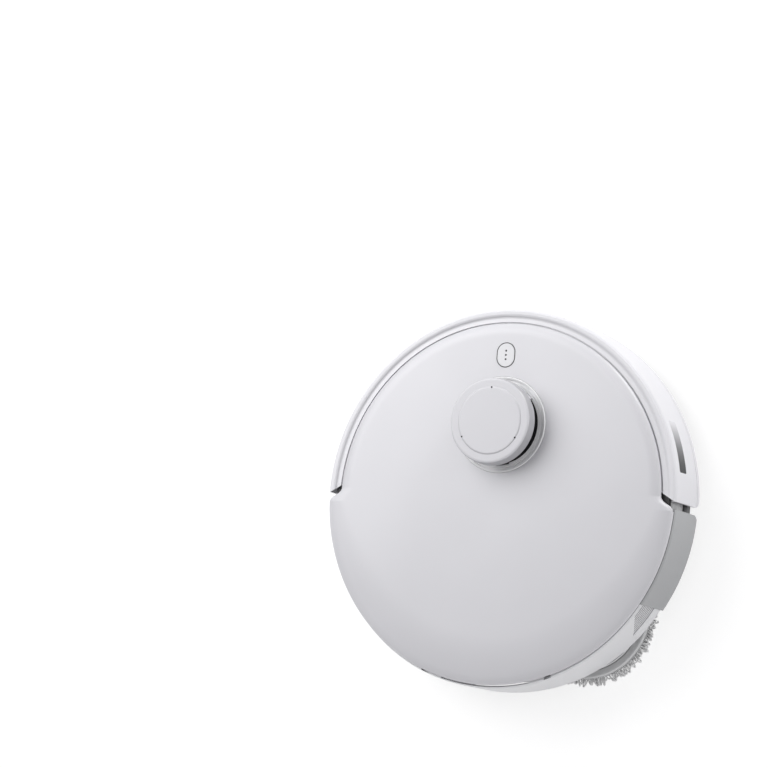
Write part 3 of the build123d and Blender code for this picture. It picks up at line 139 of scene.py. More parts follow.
class ShaderTree:
    """The node tree of one material or world."""

    def __init__(self, owner: Union[bpy.types.Material, bpy.types.World]) -> None:
        """Start an empty tree.

        Args:
            owner: the material or world that gets the nodes.
        """
        owner.use_nodes = True
        self.tree = owner.node_tree
        self.tree.nodes.clear()

    def node(self, kind: str, settings: Mapping[str, Any], sockets: Mapping[Key, Any],
             output: Key = 0) -> Value:
        """Add a node.

        Args:
            kind: Blender's type name of the node.
            settings: its properties, set first. "stops" holds a ramp's (place, colour) pairs.
            sockets: numbers, colours or links by input name or place.
            output: which output is wanted.

        Returns:
            That output.
        """
        made = self.tree.nodes.new(kind)
        for name, setting in settings.items():
            if name == "stops":
                self._set_stops(made.color_ramp, setting)
            else:
                setattr(made, name, setting)
        for key, value in sockets.items():
            if isinstance(value, Value):
                self.tree.links.new(value.socket, made.inputs[key])
            else:
                made.inputs[key].default_value = value
        return Value(self, made.outputs[output]) if made.outputs else None

    @staticmethod
    def _set_stops(ramp: bpy.types.ColorRamp, stops: Sequence[tuple[float, Colour]]) -> None:
        """Give a colour ramp its stops."""
        while len(ramp.elements) < len(stops):
            ramp.elements.new(1.0)
        for element, (place, colour) in zip(ramp.elements, stops):
            element.position = place
            element.color = (*colour, 1.0)

    def point(self, stretch: Sequence[float] = (1.0, 1.0, 1.0)) -> Value:
        """The surface point in the object's own frame, in metres, each axis scaled by stretch."""
        place = self.node("ShaderNodeTexCoord", {}, {}, "Object")
        if tuple(stretch) == (1.0, 1.0, 1.0):
            return place
        return self.node("ShaderNodeVectorMath", {"operation": "MULTIPLY"}, {0: place, 1: stretch})

    def axis(self, point: Value, name: str) -> Value:
        """The X, Y or Z of a point."""
        return self.node("ShaderNodeSeparateXYZ", {}, {"Vector": point}, name)

    def noise(self, point: Value, size_mm: float, detail: float = 2.0) -> Value:
        """Noise from 0 to 1.

        Args:
            point: where it is read.
            size_mm: size of its largest features, in millimetres.
            detail: how many finer layers it has.

        Returns:
            The noise.
        """
        sockets = {"Vector": point, "Scale": 1.0 / (size_mm * MM), "Detail": detail}
        return self.node("ShaderNodeTexNoise", {}, sockets)

    def remap(self, value: Value, low: float, high: float) -> Value:
        """Stretch low..high to 0..1 and hold the ends."""
        sockets = {"Value": value, "From Min": low, "From Max": high}
        return self.node("ShaderNodeMapRange", {"clamp": True}, sockets)

    def blend(self, mask: Number, first: Any, second: Any) -> Value:
        """Mix two colours: first where the mask is 0, second where it is 1."""
        both = [(*c, 1.0) if isinstance(c, tuple) else c for c in (first, second)]
        settings = {"data_type": "RGBA"}
        return self.node("ShaderNodeMix", settings, {0: mask, 6: both[0], 7: both[1]}, 2)

    def smooth(self, value: Value, low: float, high: float) -> Value:
        """Like remap, with soft ends."""
        sockets = {"Value": value, "From Min": low, "From Max": high}
        return self.node("ShaderNodeMapRange", {"interpolation_type": "SMOOTHSTEP"}, sockets)

    def radius(self, point: Value, centre: Sequence[float] = (0.0, 0.0)) -> Value:
        """Distance of a point from an upright axis."""
        across = self.axis(point, "X") - centre[0]
        along = self.axis(point, "Y") - centre[1]
        return (across * across + along * along) ** 0.5

    def bump(self, height: Value, depth_mm: float, under: Optional[Value] = None) -> Value:
        """A Bump node whose full height is depth_mm, on top of another one where there is one."""
        sockets = {"Height": height, "Distance": depth_mm * MM, "Strength": 1.0}
        if under is not None:
            sockets["Normal"] = under
        return self.node("ShaderNodeBump", {}, sockets)

    def openness(self, reach_mm: float) -> Value:
        """1 on open surface, falling to 0 inside seams and grooves."""
        return self.node("ShaderNodeAmbientOcclusion", {"samples": 6}, {"Distance": reach_mm * MM}, "AO")

    def surface(self, **sockets: Any) -> None:
        """End the tree in a Principled shader with these sockets, underscores standing for spaces."""
        named = {key.replace("_", " "): value for key, value in sockets.items()}
        for key, value in named.items():
            if isinstance(value, tuple) and len(value) == 3:
                named[key] = (*value, 1.0)
        shader = self.node("ShaderNodeBsdfPrincipled", {}, named)
        self.end(shader)

    def end(self, shader: Value) -> None:
        """Join a shader to the material's output."""
        self.node("ShaderNodeOutputMaterial", {}, {"Surface": shader})


# ---------------------------------------------------------------- finishes


@dataclass(frozen=True)
class Finish:
    """A surface finish. Each kind writes its own nodes."""

    name: str
    colour: Colour

    def material(self) -> bpy.types.Material:
        """The Blender material, made on first use."""
        found = bpy.data.materials.get(self.name)
        if found is None:
            found = bpy.data.materials.new(self.name)
            self.write(ShaderTree(found))
        return found

    def write(self, tree: ShaderTree) -> None:
        """Write the nodes."""
        raise NotImplementedError


@dataclass(frozen=True)
class Plastic(Finish):
    """Moulded plastic with a tool texture, faint flow clouds and painted shade in its seams."""

    roughness: float = 0.4
    grain: Grain = Grain.SATIN
    coat: float = 0.0
    # share of the colour left in the painted shade of the seams
    seam: float = 0.45
    seam_reach: float = 1.6

    def write(self, tree: ShaderTree) -> None:
        """Write the nodes."""
        point = tree.point()
        size, depth = self.grain.value
        clouds = tree.noise(point, 55.0, 3.0)
        texture = tree.noise(point, size, 3.0)
        rubbed = tree.remap(tree.noise(point, 14.0, 5.0), 0.58, 0.8)
        # painted shade: the tone falls to dark where ambient occlusion finds seams and grooves
        dark = tuple(c * self.seam for c in self.colour)
        deep = tuple(c * 0.96 for c in self.colour)
        tone = tree.blend(clouds, deep, self.colour)
        tone = tree.blend(tree.remap(tree.openness(self.seam_reach), 0.15, 0.75), dark, tone)
        rough = self.roughness + 0.05 * (texture - 0.5) + 0.05 * rubbed
        tree.surface(Base_Color=self.tint(tree, point, tone), Roughness=rough,
                     Normal=tree.bump(texture, depth, self.relief(tree, point)),
                     Coat_Weight=self.coat, Coat_Roughness=0.12)

    def tint(self, tree: ShaderTree, point: Value, tone: Value) -> Value:
        """Change the tone over part of a surface; the subclasses use it to paint shade."""
        return tone

    def relief(self, tree: ShaderTree, point: Value) -> Optional[Value]:
        """Shallow relief under the grain, where there is any."""
        return None


@dataclass(frozen=True)
class DishedPlastic(Plastic):
    """Plastic of the cover: it falls off towards its rim and ends in a narrow flat lip."""

    front_radius: float = 160.8 * MM
    rear_radius: float = 173.0 * MM
    step: tuple[float, float] = (-4.0 * MM, 9.0 * MM)
    front_lip: float = 0.5 * MM
    rear_lip: float = 1.6 * MM
    turn: tuple[float, float] = (-30.0 * MM, 120.0 * MM)
    front_fall: float = 11.0 * MM
    rear_fall: float = 42.0 * MM
    front_mm: float = 2.8
    rear_mm: float = 5.0

    def relief(self, tree: ShaderTree, point: Value) -> Optional[Value]:
        """The fall towards the rim."""
        behind = tree.remap(tree.axis(point, "Y"), *self.step)
        front_start = self.front_radius - self.front_lip
        start = front_start + behind * (self.rear_radius - self.rear_lip - front_start)
        rear = tree.smooth(tree.axis(point, "Y"), *self.turn)
        width = self.front_fall + rear * (self.rear_fall - self.front_fall)
        depth = self.front_mm + rear * (self.rear_mm - self.front_mm)
        outwards = tree.remap((start - tree.radius(point)) * width ** -1.0, 1.0, 0.0)
        return tree.bump(-1.0 * depth * outwards ** 2.0, 1.0)


@dataclass(frozen=True)
class LippedPlastic(Plastic):
    """Plastic of the bumper, whose flat rim rises to a lip."""

    rise_start: float = 165.3 * MM
    rise_end: float = 168.9 * MM
    rise_mm: float = 1.4

    def relief(self, tree: ShaderTree, point: Value) -> Optional[Value]:
        """The rise to the lip."""
        return tree.bump(tree.smooth(tree.radius(point), self.rise_start, self.rise_end), self.rise_mm)


@dataclass(frozen=True)
class CollarPlastic(Plastic):
    """Plastic with painted shade: dark inside a circle. By default that circle lies round the laser head,
    where it paints the pit under the cap black.
    """

    # colour of the painted shade
    black: Colour = (0.004, 0.004, 0.005)
    centre: tuple[float, float] = TURRET_CENTRE
    shade_radius: float = 37.0 * MM
    edge: float = 0.1 * MM

    def tint(self, tree: ShaderTree, point: Value, tone: Value) -> Value:
        """Painted shade: dark inside the circle."""
        inside = tree.remap(tree.radius(point, self.centre), self.shade_radius, self.shade_radius - self.edge)
        return tree.blend(inside, tone, self.black)


@dataclass(frozen=True)
class CapPlastic(Plastic):
    """Plastic of the laser head's cap: a disc set off by a step, and a wall painted darker than the top as
    painted shade.
    """

    centre: tuple[float, float] = TURRET_CENTRE
    wall_painted_shade: float = 0.66
    wall_radius: float = 38.7 * MM
    wall_edge: float = 0.7 * MM
    disc_radius: float = 31.6 * MM
    disc_edge: float = 1.2 * MM
    disc_mm: float = 0.5

    def tint(self, tree: ShaderTree, point: Value, tone: Value) -> Value:
        """Painted shade: darker from the shoulder outwards."""
        start = self.wall_radius
        outside = tree.remap(tree.radius(point, self.centre), start, start + self.wall_edge)
        return tree.blend(outside, tone, tuple(c * self.wall_painted_shade for c in self.colour))

    def relief(self, tree: ShaderTree, point: Value) -> Optional[Value]:
        """The step round the disc."""
        inwards = self.disc_radius - tree.radius(point, self.centre)
        return tree.bump(tree.smooth(inwards, 0.0, self.disc_edge), self.disc_mm)


@dataclass(frozen=True)
class Pane(Finish):
    """Glossy window that infrared light passes. Along Y it can fade to a pale tint, a painted reflection of
    the bright surroundings seen at a grazing angle.
    """

    # colour of the painted reflection at the faded end
    pale: Colour = (0.02, 0.02, 0.022)
    fade_from: float = 0.0
    fade_to: float = 1.0
    gloss: float = 0.5
    coat: float = 0.6
    fade_power: float = 1.0

    def write(self, tree: ShaderTree) -> None:
        """Write the nodes."""
        point = tree.point()
        fade = tree.remap(tree.axis(point, "Y"), self.fade_from, self.fade_to)
        smear = tree.noise(point, 9.0, 4.0)
        # painted reflection: the tone fades to the pale colour along Y
        tone = tree.blend(fade ** self.fade_power, self.colour, self.pale)
        tree.surface(Base_Color=tone, Roughness=0.06 + 0.08 * smear, Specular_IOR_Level=self.gloss,
                     Coat_Weight=self.coat, Coat_Roughness=0.04, Normal=tree.bump(smear, 0.004))


@dataclass(frozen=True)
class Rubber(Finish):
    """Soft rubber with a dry bloom and fine pores."""

    roughness: float = 0.75
    bloom: float = 0.35

    def write(self, tree: ShaderTree) -> None:
        """Write the nodes."""
        point = tree.point()
        pores = tree.noise(point, 0.5, 4.0)
        dust = tree.remap(tree.noise(point, 11.0, 6.0), 0.45, 0.8) * self.bloom
        pale = tuple(0.6 * c + 0.10 for c in self.colour)
        rim = 1 - tree.openness(3.0)
        tone = tree.blend((dust + rim * 0.3).larger(0.0), self.colour, pale)
        tree.surface(Base_Color=tone, Roughness=self.roughness + 0.12 * (pores - 0.5),
                     Normal=tree.bump(pores, 0.03))


@dataclass(frozen=True)
class Metal(Finish):
    """Turned, drawn or plated metal. The lines run along the axis with the small stretch."""

    roughness: float = 0.3
    lines: tuple[float, float, float] = (1.0, 1.0, 1.0)

    def write(self, tree: ShaderTree) -> None:
        """Write the nodes."""
        marks = tree.noise(tree.point(self.lines), 0.7, 4.0)
        tarnish = tree.noise(tree.point(), 7.0, 4.0)
        worn = tuple(c * 0.8 for c in self.colour)
        tree.surface(Base_Color=tree.blend(tarnish, worn, self.colour), Metallic=1.0,
                     Roughness=self.roughness + 0.16 * (marks - 0.5) + 0.08 * tarnish,
                     Normal=tree.bump(marks, 0.006))


@dataclass(frozen=True)
class Yarn(Finish):
    """Microfibre yarn: pale strands with painted grey shade between them and a fine twist."""

    shade: Colour = (0.30, 0.30, 0.31)
    twist_mm: float = 0.35

    def write(self, tree: ShaderTree) -> None:
        """Write the nodes."""
        point = tree.point()
        fluff = tree.noise(point, self.twist_mm, 3.0)
        strand = tree.remap(tree.noise(point, 2.6, 2.0), 0.32, 0.66)
        # painted shade: the tone falls to the shade colour where ambient occlusion finds the yarn closed in
        closed_in_shade = tree.remap(tree.openness(1.2), 0.0, 0.35)
        deep = tuple(c * 0.92 for c in self.colour)
        tone = tree.blend(strand, deep, self.colour)
        tone = tree.blend(closed_in_shade, self.shade, tone)
        tree.surface(Base_Color=tone, Roughness=0.9 + 0.08 * fluff, Normal=tree.bump(fluff, 0.12),
                     Sheen_Weight=0.25, Sheen_Roughness=0.5)


@dataclass(frozen=True)
class Bristle(Finish):
    """Nylon monofilament with a slight lengthwise sheen."""

    def write(self, tree: ShaderTree) -> None:
        """Write the nodes."""
        fine = tree.noise(tree.point(), 0.6, 2.0)
        pale = tuple(c * 1.9 for c in self.colour)
        tree.surface(Base_Color=tree.blend(fine, self.colour, pale), Roughness=0.32 + 0.2 * fine,
                     Normal=tree.bump(fine, 0.01))


@dataclass(frozen=True)
class Glass(Finish):
    """Coated lens glass."""

    def write(self, tree: ShaderTree) -> None:
        """Write the nodes."""
        smear = tree.noise(tree.point(), 2.5, 3.0)
        bloom = tuple(min(1.0, c * 2.2) for c in self.colour)
        tree.surface(Base_Color=tree.blend(smear, self.colour, bloom), Roughness=0.03 + 0.05 * smear,
                     Coat_Weight=1.0, Coat_Roughness=0.02, Normal=tree.bump(smear, 0.002))


@dataclass(frozen=True)
class Pleats(Finish):
    """Filter paper with fibres and painted shade deep in its folds."""

    def write(self, tree: ShaderTree) -> None:
        """Write the nodes."""
        point = tree.point((1.0, 1.0, 0.25))
        fibres = tree.noise(point, 0.7, 6.0)
        # painted shade: darker where ambient occlusion finds the folds closed in
        fold = tree.remap(tree.openness(5.0), 0.2, 0.9)
        fold_shade = tuple(c * 0.62 for c in self.colour)
        tone = tree.blend(fold, fold_shade, self.colour)
        tree.surface(Base_Color=tone, Roughness=0.9 + 0.08 * fibres, Normal=tree.bump(fibres, 0.05))


@dataclass(frozen=True)
class Lacquer(Finish):
    """Circuit board: green lacquer over copper tracks, with black parts standing on it."""

    copper: Colour = (0.10, 0.33, 0.17)
    part: Colour = (0.03, 0.03, 0.032)
    part_height: float = 0.0
    edge: float = 0.1 * MM

    def write(self, tree: ShaderTree) -> None:
        """Write the nodes."""
        point = tree.point()
        cells = {"Vector": point, "Scale": 260.0, "Randomness": 0.6}
        tracks = tree.node("ShaderNodeTexVoronoi", {"distance": "CHEBYCHEV"}, cells, "Distance")
        mask = tree.remap(tracks, 0.36, 0.42)
        tone = tree.blend(mask, self.colour, self.copper)
        raised = tree.remap(tree.axis(point, "Z"), self.part_height - self.edge, self.part_height + self.edge)
        tone = tree.blend(raised, tone, self.part)
        tree.surface(Base_Color=tone, Roughness=0.28 + 0.3 * raised, Normal=tree.bump(mask, 0.03))


@dataclass(frozen=True)
class Film(Finish):
    """Shrink film over battery cells, with the cells' round backs showing as soft waves."""

    cell_mm: float = 19.0

    def write(self, tree: ShaderTree) -> None:
        """Write the nodes."""
        point = tree.point()
        across = tree.axis(point, "X") * (2 * math.pi / (self.cell_mm * MM))
        wave = tree.node("ShaderNodeMath", {"operation": "COSINE"}, {0: across})
        creases = tree.noise(tree.point((1.0, 0.3, 1.0)), 3.0, 3.0)
        pale = tuple(c * 1.5 for c in self.colour)
        height = 0.5 * wave + 0.3 * creases
        tree.surface(Base_Color=tree.blend(creases, self.colour, pale), Roughness=0.25 + 0.1 * creases,
                     Normal=tree.bump(height, 0.5))


@dataclass(frozen=True)
class Finishes:
    """All finishes of the object."""

    cover: DishedPlastic = DishedPlastic("cover_satin", (0.70, 0.695, 0.725), 0.38, Grain.SATIN, 0.15)
    bumper: LippedPlastic = LippedPlastic("bumper_white", (0.77, 0.765, 0.795), 0.36, Grain.SATIN, 0.1)
    wall: Plastic = Plastic("wall_white", (0.83, 0.83, 0.85), 0.36, Grain.SATIN, 0.1)
    # louvres: painted shade, darker inside a radius of 172 mm, deeper between the blades
    louvre: CollarPlastic = CollarPlastic("louvre_white", (0.83, 0.83, 0.85), 0.36, Grain.SATIN, 0.1,
                                          black=(0.16, 0.16, 0.17), centre=(0.0, 3.0 * MM),
                                          shade_radius=172.0 * MM)
    side: Plastic = Plastic("side_grey", (0.42, 0.425, 0.435), 0.42, Grain.SATIN, 0.05)
    chassis: Plastic = Plastic("chassis_grey", (0.62, 0.62, 0.63), 0.55, Grain.SPARKED)
    # deck: near black; this also paints the shade seen down the gap beside the cover's step
    deck: Plastic = Plastic("deck_black", (0.03, 0.03, 0.032), 0.55, Grain.SPARKED)
    # turret ring: painted shade, black in the pit under the laser head's cap
    turret: CollarPlastic = CollarPlastic("turret_collar", (0.92, 0.92, 0.93), 0.4, Grain.SATIN, 0.1, 0.8)
    # cap: painted shade on its wall, from a radius of 38.7 mm outwards
    cap: CapPlastic = CapPlastic("cap_satin", (0.64, 0.635, 0.665), 0.38, Grain.SATIN, 0.15)
    button: Plastic = Plastic("button_white", (0.74, 0.74, 0.76), 0.35, Grain.SATIN, 0.1)
    dark: Plastic = Plastic("dark_matte", (0.035, 0.035, 0.038), 0.55, Grain.SPARKED)
    # black: the laser rotor's own black, also used as painted shade in the key's gap and the gap seal's slot
    black: Plastic = Plastic("laser_black", (0.006, 0.006, 0.007), 0.4, Grain.SATIN)
    tank: Plastic = Plastic("tank_frosted", (0.52, 0.55, 0.60), 0.3, Grain.COARSE, 0.3)
    bin: Plastic = Plastic("bin_smoke", (0.10, 0.10, 0.115), 0.2, Grain.POLISHED, 0.6)
    plate: Plastic = Plastic("mop_plate_grey", (0.75, 0.755, 0.76), 0.5, Grain.SPARKED)
    shield: Plastic = Plastic("mop_shield_grey", (0.85, 0.85, 0.86), 0.5, Grain.SPARKED, 0.0, 0.7)
    seal: Plastic = Plastic("seal_grey", (0.12, 0.12, 0.125), 0.55, Grain.SPARKED)
    hub: Plastic = Plastic("hub_grey", (0.24, 0.24, 0.25), 0.5, Grain.SPARKED)
    roller: Plastic = Plastic("roller_white", (0.68, 0.68, 0.69), 0.45, Grain.SATIN)
    # dot: the indicator dots' own black, also used as painted shade in the cap's holes
    dot: Plastic = Plastic("indicator_black", (0.012, 0.012, 0.014), 0.25, Grain.POLISHED)
    tyre: Rubber = Rubber("tyre_rubber", (0.030, 0.030, 0.033), 0.8, 0.4)
    buffer: Rubber = Rubber("buffer_rubber", (0.02, 0.02, 0.022), 0.7, 0.1)
    fins: Rubber = Rubber("brush_rubber", (0.13, 0.13, 0.14), 0.6, 0.3)
    steel: Metal = Metal("pin_steel", (0.58, 0.58, 0.60), 0.28, (0.08, 1.0, 1.0))
    screw: Metal = Metal("screw_steel", (0.42, 0.42, 0.44), 0.35)
    can: Metal = Metal("motor_can", (0.55, 0.55, 0.57), 0.4, (1.0, 1.0, 0.1))
    wire: Metal = Metal("spring_wire", (0.55, 0.55, 0.58), 0.3)
    contact: Metal = Metal("contact_plate", (0.83, 0.75, 0.58), 0.18, (0.1, 1.0, 1.0))
    yarn: Yarn = Yarn("mop_yarn", (0.97, 0.97, 0.97), (0.88, 0.88, 0.89))
    felt: Yarn = Yarn("mop_backing", (0.62, 0.62, 0.63), (0.45, 0.45, 0.46), 0.8)
    nylon: Bristle = Bristle("bristle_nylon", (0.05, 0.05, 0.055))
    lens: Glass = Glass("lens_glass", (0.04, 0.02, 0.07))
    paper: Pleats = Pleats("filter_paper", (0.80, 0.79, 0.74))
    film: Film = Film("battery_film", (0.05, 0.07, 0.14))


FINISH = Finishes()


def dress(finish: Finish, *nodes: str) -> None:
    """Give CAD nodes their finish.

    Args:
        finish: what they are made of.
        nodes: their names.
    """
    for node in nodes:
        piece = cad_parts[node]
        if not piece.material_slots:
            piece.data.materials.append(None)
        for place in piece.material_slots:
            place.material = finish.material()


def pair(name: str) -> tuple[str, str]:
    """The names of a left and a right node."""
    return name + "_left", name + "_right"


def middle(node: str) -> Vector:
    """The middle of a CAD node's box."""
    low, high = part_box(node)
    return (low + high) / 2


def turned(radius: float, angle: float, height: float) -> Vector:
    """The point at a radius, an angle in radians and a height."""
    return Vector((radius * math.cos(angle), radius * math.sin(angle), height))


# ---------------------------------------------------------------- meshes


@dataclass
class MeshDraft:
    """Vertices and faces that grow into one piece."""

    vertices: list[Vector] = field(default_factory=list)
    faces: list[tuple[int, ...]] = field(default_factory=list)

    def tube(self, path: Sequence[Vector], radii: Sequence[float], sides: int) -> None:
        """Add a tube with closed ends.

        Args:
            path: points of its middle line.
            radii: its radius at each point.
            sides: how many sides it has.
        """
        first = len(self.vertices)
        ahead = (path[1] - path[0]).normalized()
        across = ahead.orthogonal().normalized()
        for index, (point, radius) in enumerate(zip(path, radii)):
            last = min(index + 1, len(path) - 1)
            heading = (path[last] - path[max(index - 1, 0)]).normalized()
            across = (ahead.rotation_difference(heading) @ across).normalized()
            ahead = heading
            beside = ahead.cross(across)
            for side in range(sides):
                turn = 2 * math.pi * side / sides
                self.vertices.append(point + radius * (math.cos(turn) * across + math.sin(turn) * beside))
        for ring in range(len(path) - 1):
            for side in range(sides):
                low = first + ring * sides
                near, far = low + side, low + (side + 1) % sides
                self.faces.append((near, far, far + sides, near + sides))
        self.faces.append(tuple(first + side for side in reversed(range(sides))))
        self.faces.append(tuple(first + (len(path) - 1) * sides + side for side in range(sides)))

    def lathe(self, outline: Sequence[tuple[float, float]], centre: Vector, segments: int) -> None:
        """Add a closed ring turned about a vertical axis.

        Args:
            outline: closed outline of (radius, height) pairs.
            centre: a point on the axis, from which the heights count.
            segments: how many steps the ring has.
        """
        first = len(self.vertices)
        count = len(outline)
        for step in range(segments):
            turn = 2 * math.pi * step / segments
            for radius, height in outline:
                self.vertices.append(centre + turned(radius, turn, height))
        for step in range(segments):
            near = first + step * count
            far = first + (step + 1) % segments * count
            for index in range(count):
                after = (index + 1) % count
                self.faces.append((near + index, far + index, far + after, near + after))

    def block(self, outline: Sequence[tuple[float, float]], low: float, high: float) -> None:
        """Add a prism with a closed plan outline between two heights."""
        first = len(self.vertices)
        count = len(outline)
        for height in (low, high):
            self.vertices += [Vector((x, y, height)) for x, y in outline]
        self.faces.append(tuple(first + index for index in reversed(range(count))))
        self.faces.append(tuple(first + count + index for index in range(count)))
        for index in range(count):
            after = (index + 1) % count
            self.faces.append((first + index, first + after, first + count + after, first + count + index))

    def mesh(self, name: str) -> bpy.types.Object:
        """Turn the draft into a mesh object with smooth faces."""
        data = bpy.data.meshes.new(name)
        data.from_pydata([tuple(v) for v in self.vertices], [], self.faces)
        data.validate()
        data.shade_smooth()
        piece = bpy.data.objects.new(name, data)
        bpy.context.scene.collection.objects.link(piece)
        return piece

    def piece(self, name: str, body: str, finish: Finish, slot: Slot) -> bpy.types.Object:
        """Turn the draft into a finished piece.

        Args:
            name: name of the piece.
            body: CAD body that it moves with.
            finish: what it is made of.
            slot: not used.

        Returns:
            The object.
        """
        made = self.mesh(name)
        made.data.materials.append(finish.material())
        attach(made, body)
        return made


# ---------------------------------------------------------------- sub-assemblies


@dataclass
class Shell:
    """Cover, bumper, walls and chassis."""

    window_reflection: Colour = (0.77, 0.765, 0.795)
    window_dark: Colour = (0.035, 0.035, 0.037)

    def dress(self) -> None:
        """Finish the outer skins and the tub."""
        dress(FINISH.cover, "top_cover")
        dress(FINISH.bumper, "bumper")
        dress(FINISH.wall, "rear_wall")
        dress(FINISH.louvre, "exhaust_grille")
        dress(FINISH.buffer, "bumper_buffers")
        dress(FINISH.deck, "deck")
        dress(FINISH.chassis, "base_shell", "mop_bay", "caster_socket", *pair("wheel_housing"))
        dress(FINISH.side, *pair("side_panel"))
        self._dress_windows()

    def _dress_windows(self) -> None:
        """The side window fades from pale at the front to black; the pale end is a painted reflection. The
        front window is all black.
        """
        low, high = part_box("bumper_side_window")
        side = Pane("side_window", self.window_dark, self.window_reflection, fade_from=high.y, fade_to=low.y,
                    gloss=0.15, coat=0.0, fade_power=2.1)
        dress(side, "bumper_side_window")
        dress(Pane("front_window", (0.012, 0.012, 0.014)), "bumper_front_window")


@dataclass
class StartButton:
    """The long key on the cover with three indicator dots."""

    dot_radius: float = 1.0 * MM
    dot_pitch: float = 3.95 * MM
    dot_rise: float = 0.04 * MM
    dot_sink: float = 0.3 * MM
    gap_shade_cord: float = 0.45 * MM
    gap_shade_offset: float = 0.15 * MM
    gap_shade_sink: float = 0.1 * MM
    gap_shade_steps: int = 48

    def build(self) -> list[bpy.types.Object]:
        """Make the dots and a black cord of painted shade in the gap round the key, and finish the key.

        Returns:
            The cord of painted shade and the piece with the three dots.
        """
        return [self._gap_shade(), self._dots()]

    def _gap_shade(self) -> bpy.types.Object:
        """Black cord that follows the outline of the key, round at both ends: painted shade in the gap round
        the key.
        """
        low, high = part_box("start_button")
        half = (high.x - low.x) / 2
        reach = (high.y - low.y) / 2 - half
        centre = middle("start_button")
        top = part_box("top_cover")[1].z
        path = []
        for step in range(self.gap_shade_steps + 1):
            angle = 2 * math.pi * step / self.gap_shade_steps
            place = turned(half + self.gap_shade_offset, angle, 0.0)
            place.y += centre.y + (reach if angle <= math.pi else -reach)
            place.x += centre.x
            place.z = top - self.gap_shade_sink
            path.append(place)
        path.append(path[0].copy())
        draft = MeshDraft()
        draft.tube(path, [self.gap_shade_cord] * len(path), 8)
        return draft.piece("button_gap_shade", "cover", FINISH.black, Slot.DARK)

    def _dots(self) -> bpy.types.Object:
        """Three dots in a row."""
        dress(FINISH.button, "start_button")
        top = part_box("start_button")[1].z
        centre = middle("start_button")
        draft = MeshDraft()
        for step in (-1, 0, 1):
            outline = [(0.0, -self.dot_sink), (self.dot_radius, -self.dot_sink),
                       (self.dot_radius, self.dot_rise * 0.6), (self.dot_radius * 0.7, self.dot_rise),
                       (0.0, self.dot_rise)]
            draft.lathe(outline, Vector((centre.x, centre.y + step * self.dot_pitch, top)), 16)
        return draft.piece("button_dots", "button", FINISH.dot, Slot.BUTTON)


@dataclass
class GapSeal:
    """Upright strip on the tub behind the gap between bumper and side panel, with a black slot in it; the
    slot's black is painted shade.
    """

    side: str
    inner: float = 167.6 * MM
    outer: float = 169.3 * MM
    sink: float = 0.7 * MM
    low: float = 20.5 * MM
    slot_low: float = 34.5 * MM
    slot_high: float = 40.0 * MM
    high: float = 66.8 * MM
    front: float = -2.6
    rear: float = 3.8
    steps: int = 8

    def build(self) -> list[bpy.types.Object]:
        """Make the strip above the slot, the slot and the strip below it.

        Returns:
            The three pieces.
        """
        strips = ((self.slot_high, self.high, self.outer, "upper", FINISH.chassis, Slot.CHASSIS),
                  # the slot: painted shade, black and set back a little
                  (self.slot_low, self.slot_high, self.outer - self.sink, "slot", FINISH.black, Slot.DARK),
                  (self.low, self.slot_low, self.outer, "lower", FINISH.seal, Slot.DARK))
        return [self._strip(*strip) for strip in strips]

    def _strip(self, low: float, high: float, outer: float, part: str, finish: Finish,
               slot: Slot) -> bpy.types.Object:
        """A curved block between two heights."""
        mirror = -1.0 if self.side == "right" else 1.0
        inside, outside = [], []
        for step in range(self.steps + 1):
            angle = math.radians(self.front + (self.rear - self.front) * step / self.steps)
            for row, radius in ((inside, self.inner), (outside, outer)):
                place = turned(radius, angle, 0.0)
                row.append((mirror * place.x, place.y))
        outline = outside + inside[::-1]
        draft = MeshDraft()
        draft.block(outline if mirror > 0 else outline[::-1], low, high)
        return draft.piece(f"gap_seal_{part}_{self.side}", "body", finish, slot)


@dataclass
class Turret:
    """Laser turret: ring, cap, rotor and lenses."""

    hole_angles: tuple[float, ...] = (30.0, 150.0, 270.0)
    hole_ring: float = 30.7 * MM
    hole_shade_radius: float = 0.79 * MM
    hole_shade_rise: float = 0.02 * MM
    hole_shade_depth: float = 1.45 * MM

    def build(self) -> bpy.types.Object:
        """Make the black fillings of painted shade in the cap's holes and finish the turret's nodes.

        Returns:
            The piece with the three black fillings of painted shade.
        """
        dress(FINISH.turret, "turret_base")
        dress(FINISH.cap, "turret_cap")
        dress(FINISH.black, "lidar_rotor")
        dress(FINISH.lens, "lidar_lenses")
        dress(FINISH.can, "lidar_motor")
        centre = middle("turret_cap")
        centre.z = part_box("turret_cap")[1].z
        outline = [(0.0, -self.hole_shade_depth), (self.hole_shade_radius, -self.hole_shade_depth),
                   (self.hole_shade_radius, self.hole_shade_rise), (0.0, self.hole_shade_rise)]
        draft = MeshDraft()
        for angle in self.hole_angles:
            draft.lathe(outline, centre + turned(self.hole_ring, math.radians(angle), 0.0), 20)
        return draft.piece("cap_hole_shade", "turret_cap", FINISH.dot, Slot.DARK)


@dataclass
class Insides:
    """What lies under the cover and inside the tub."""

    board_thick: float = 1.6 * MM

    def dress(self) -> None:
        """Finish the inner units."""
        board_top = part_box("mainboard")[0].z + self.board_thick
        dress(FINISH.bin, "dust_bin")
        dress(FINISH.paper, "dust_filter")
        dress(FINISH.film, "battery")
        dress(FINISH.tank, "water_tank")
        dress(FINISH.can, "side_brush_motor")
        dress(FINISH.dark, "dust_bin_lid", "suction_fan", "brush_chamber", "brush_gearbox",
              "mop_drive_left", "mop_arm_right")
        dress(Lacquer("circuit_board", (0.02, 0.13, 0.06), part_height=board_top), "mainboard")


@dataclass
class DriveWheels:
    """Both drive wheels with their arms and springs."""

    def dress(self) -> None:
        """Finish the wheels' nodes."""
        dress(FINISH.steel, "suspension_pins")
        dress(FINISH.dark, *pair("wheel_arm"))
        dress(FINISH.hub, *pair("wheel_hub"))
        dress(FINISH.tyre, *pair("wheel_tyre"))
        dress(FINISH.wire, *pair("wheel_spring"))


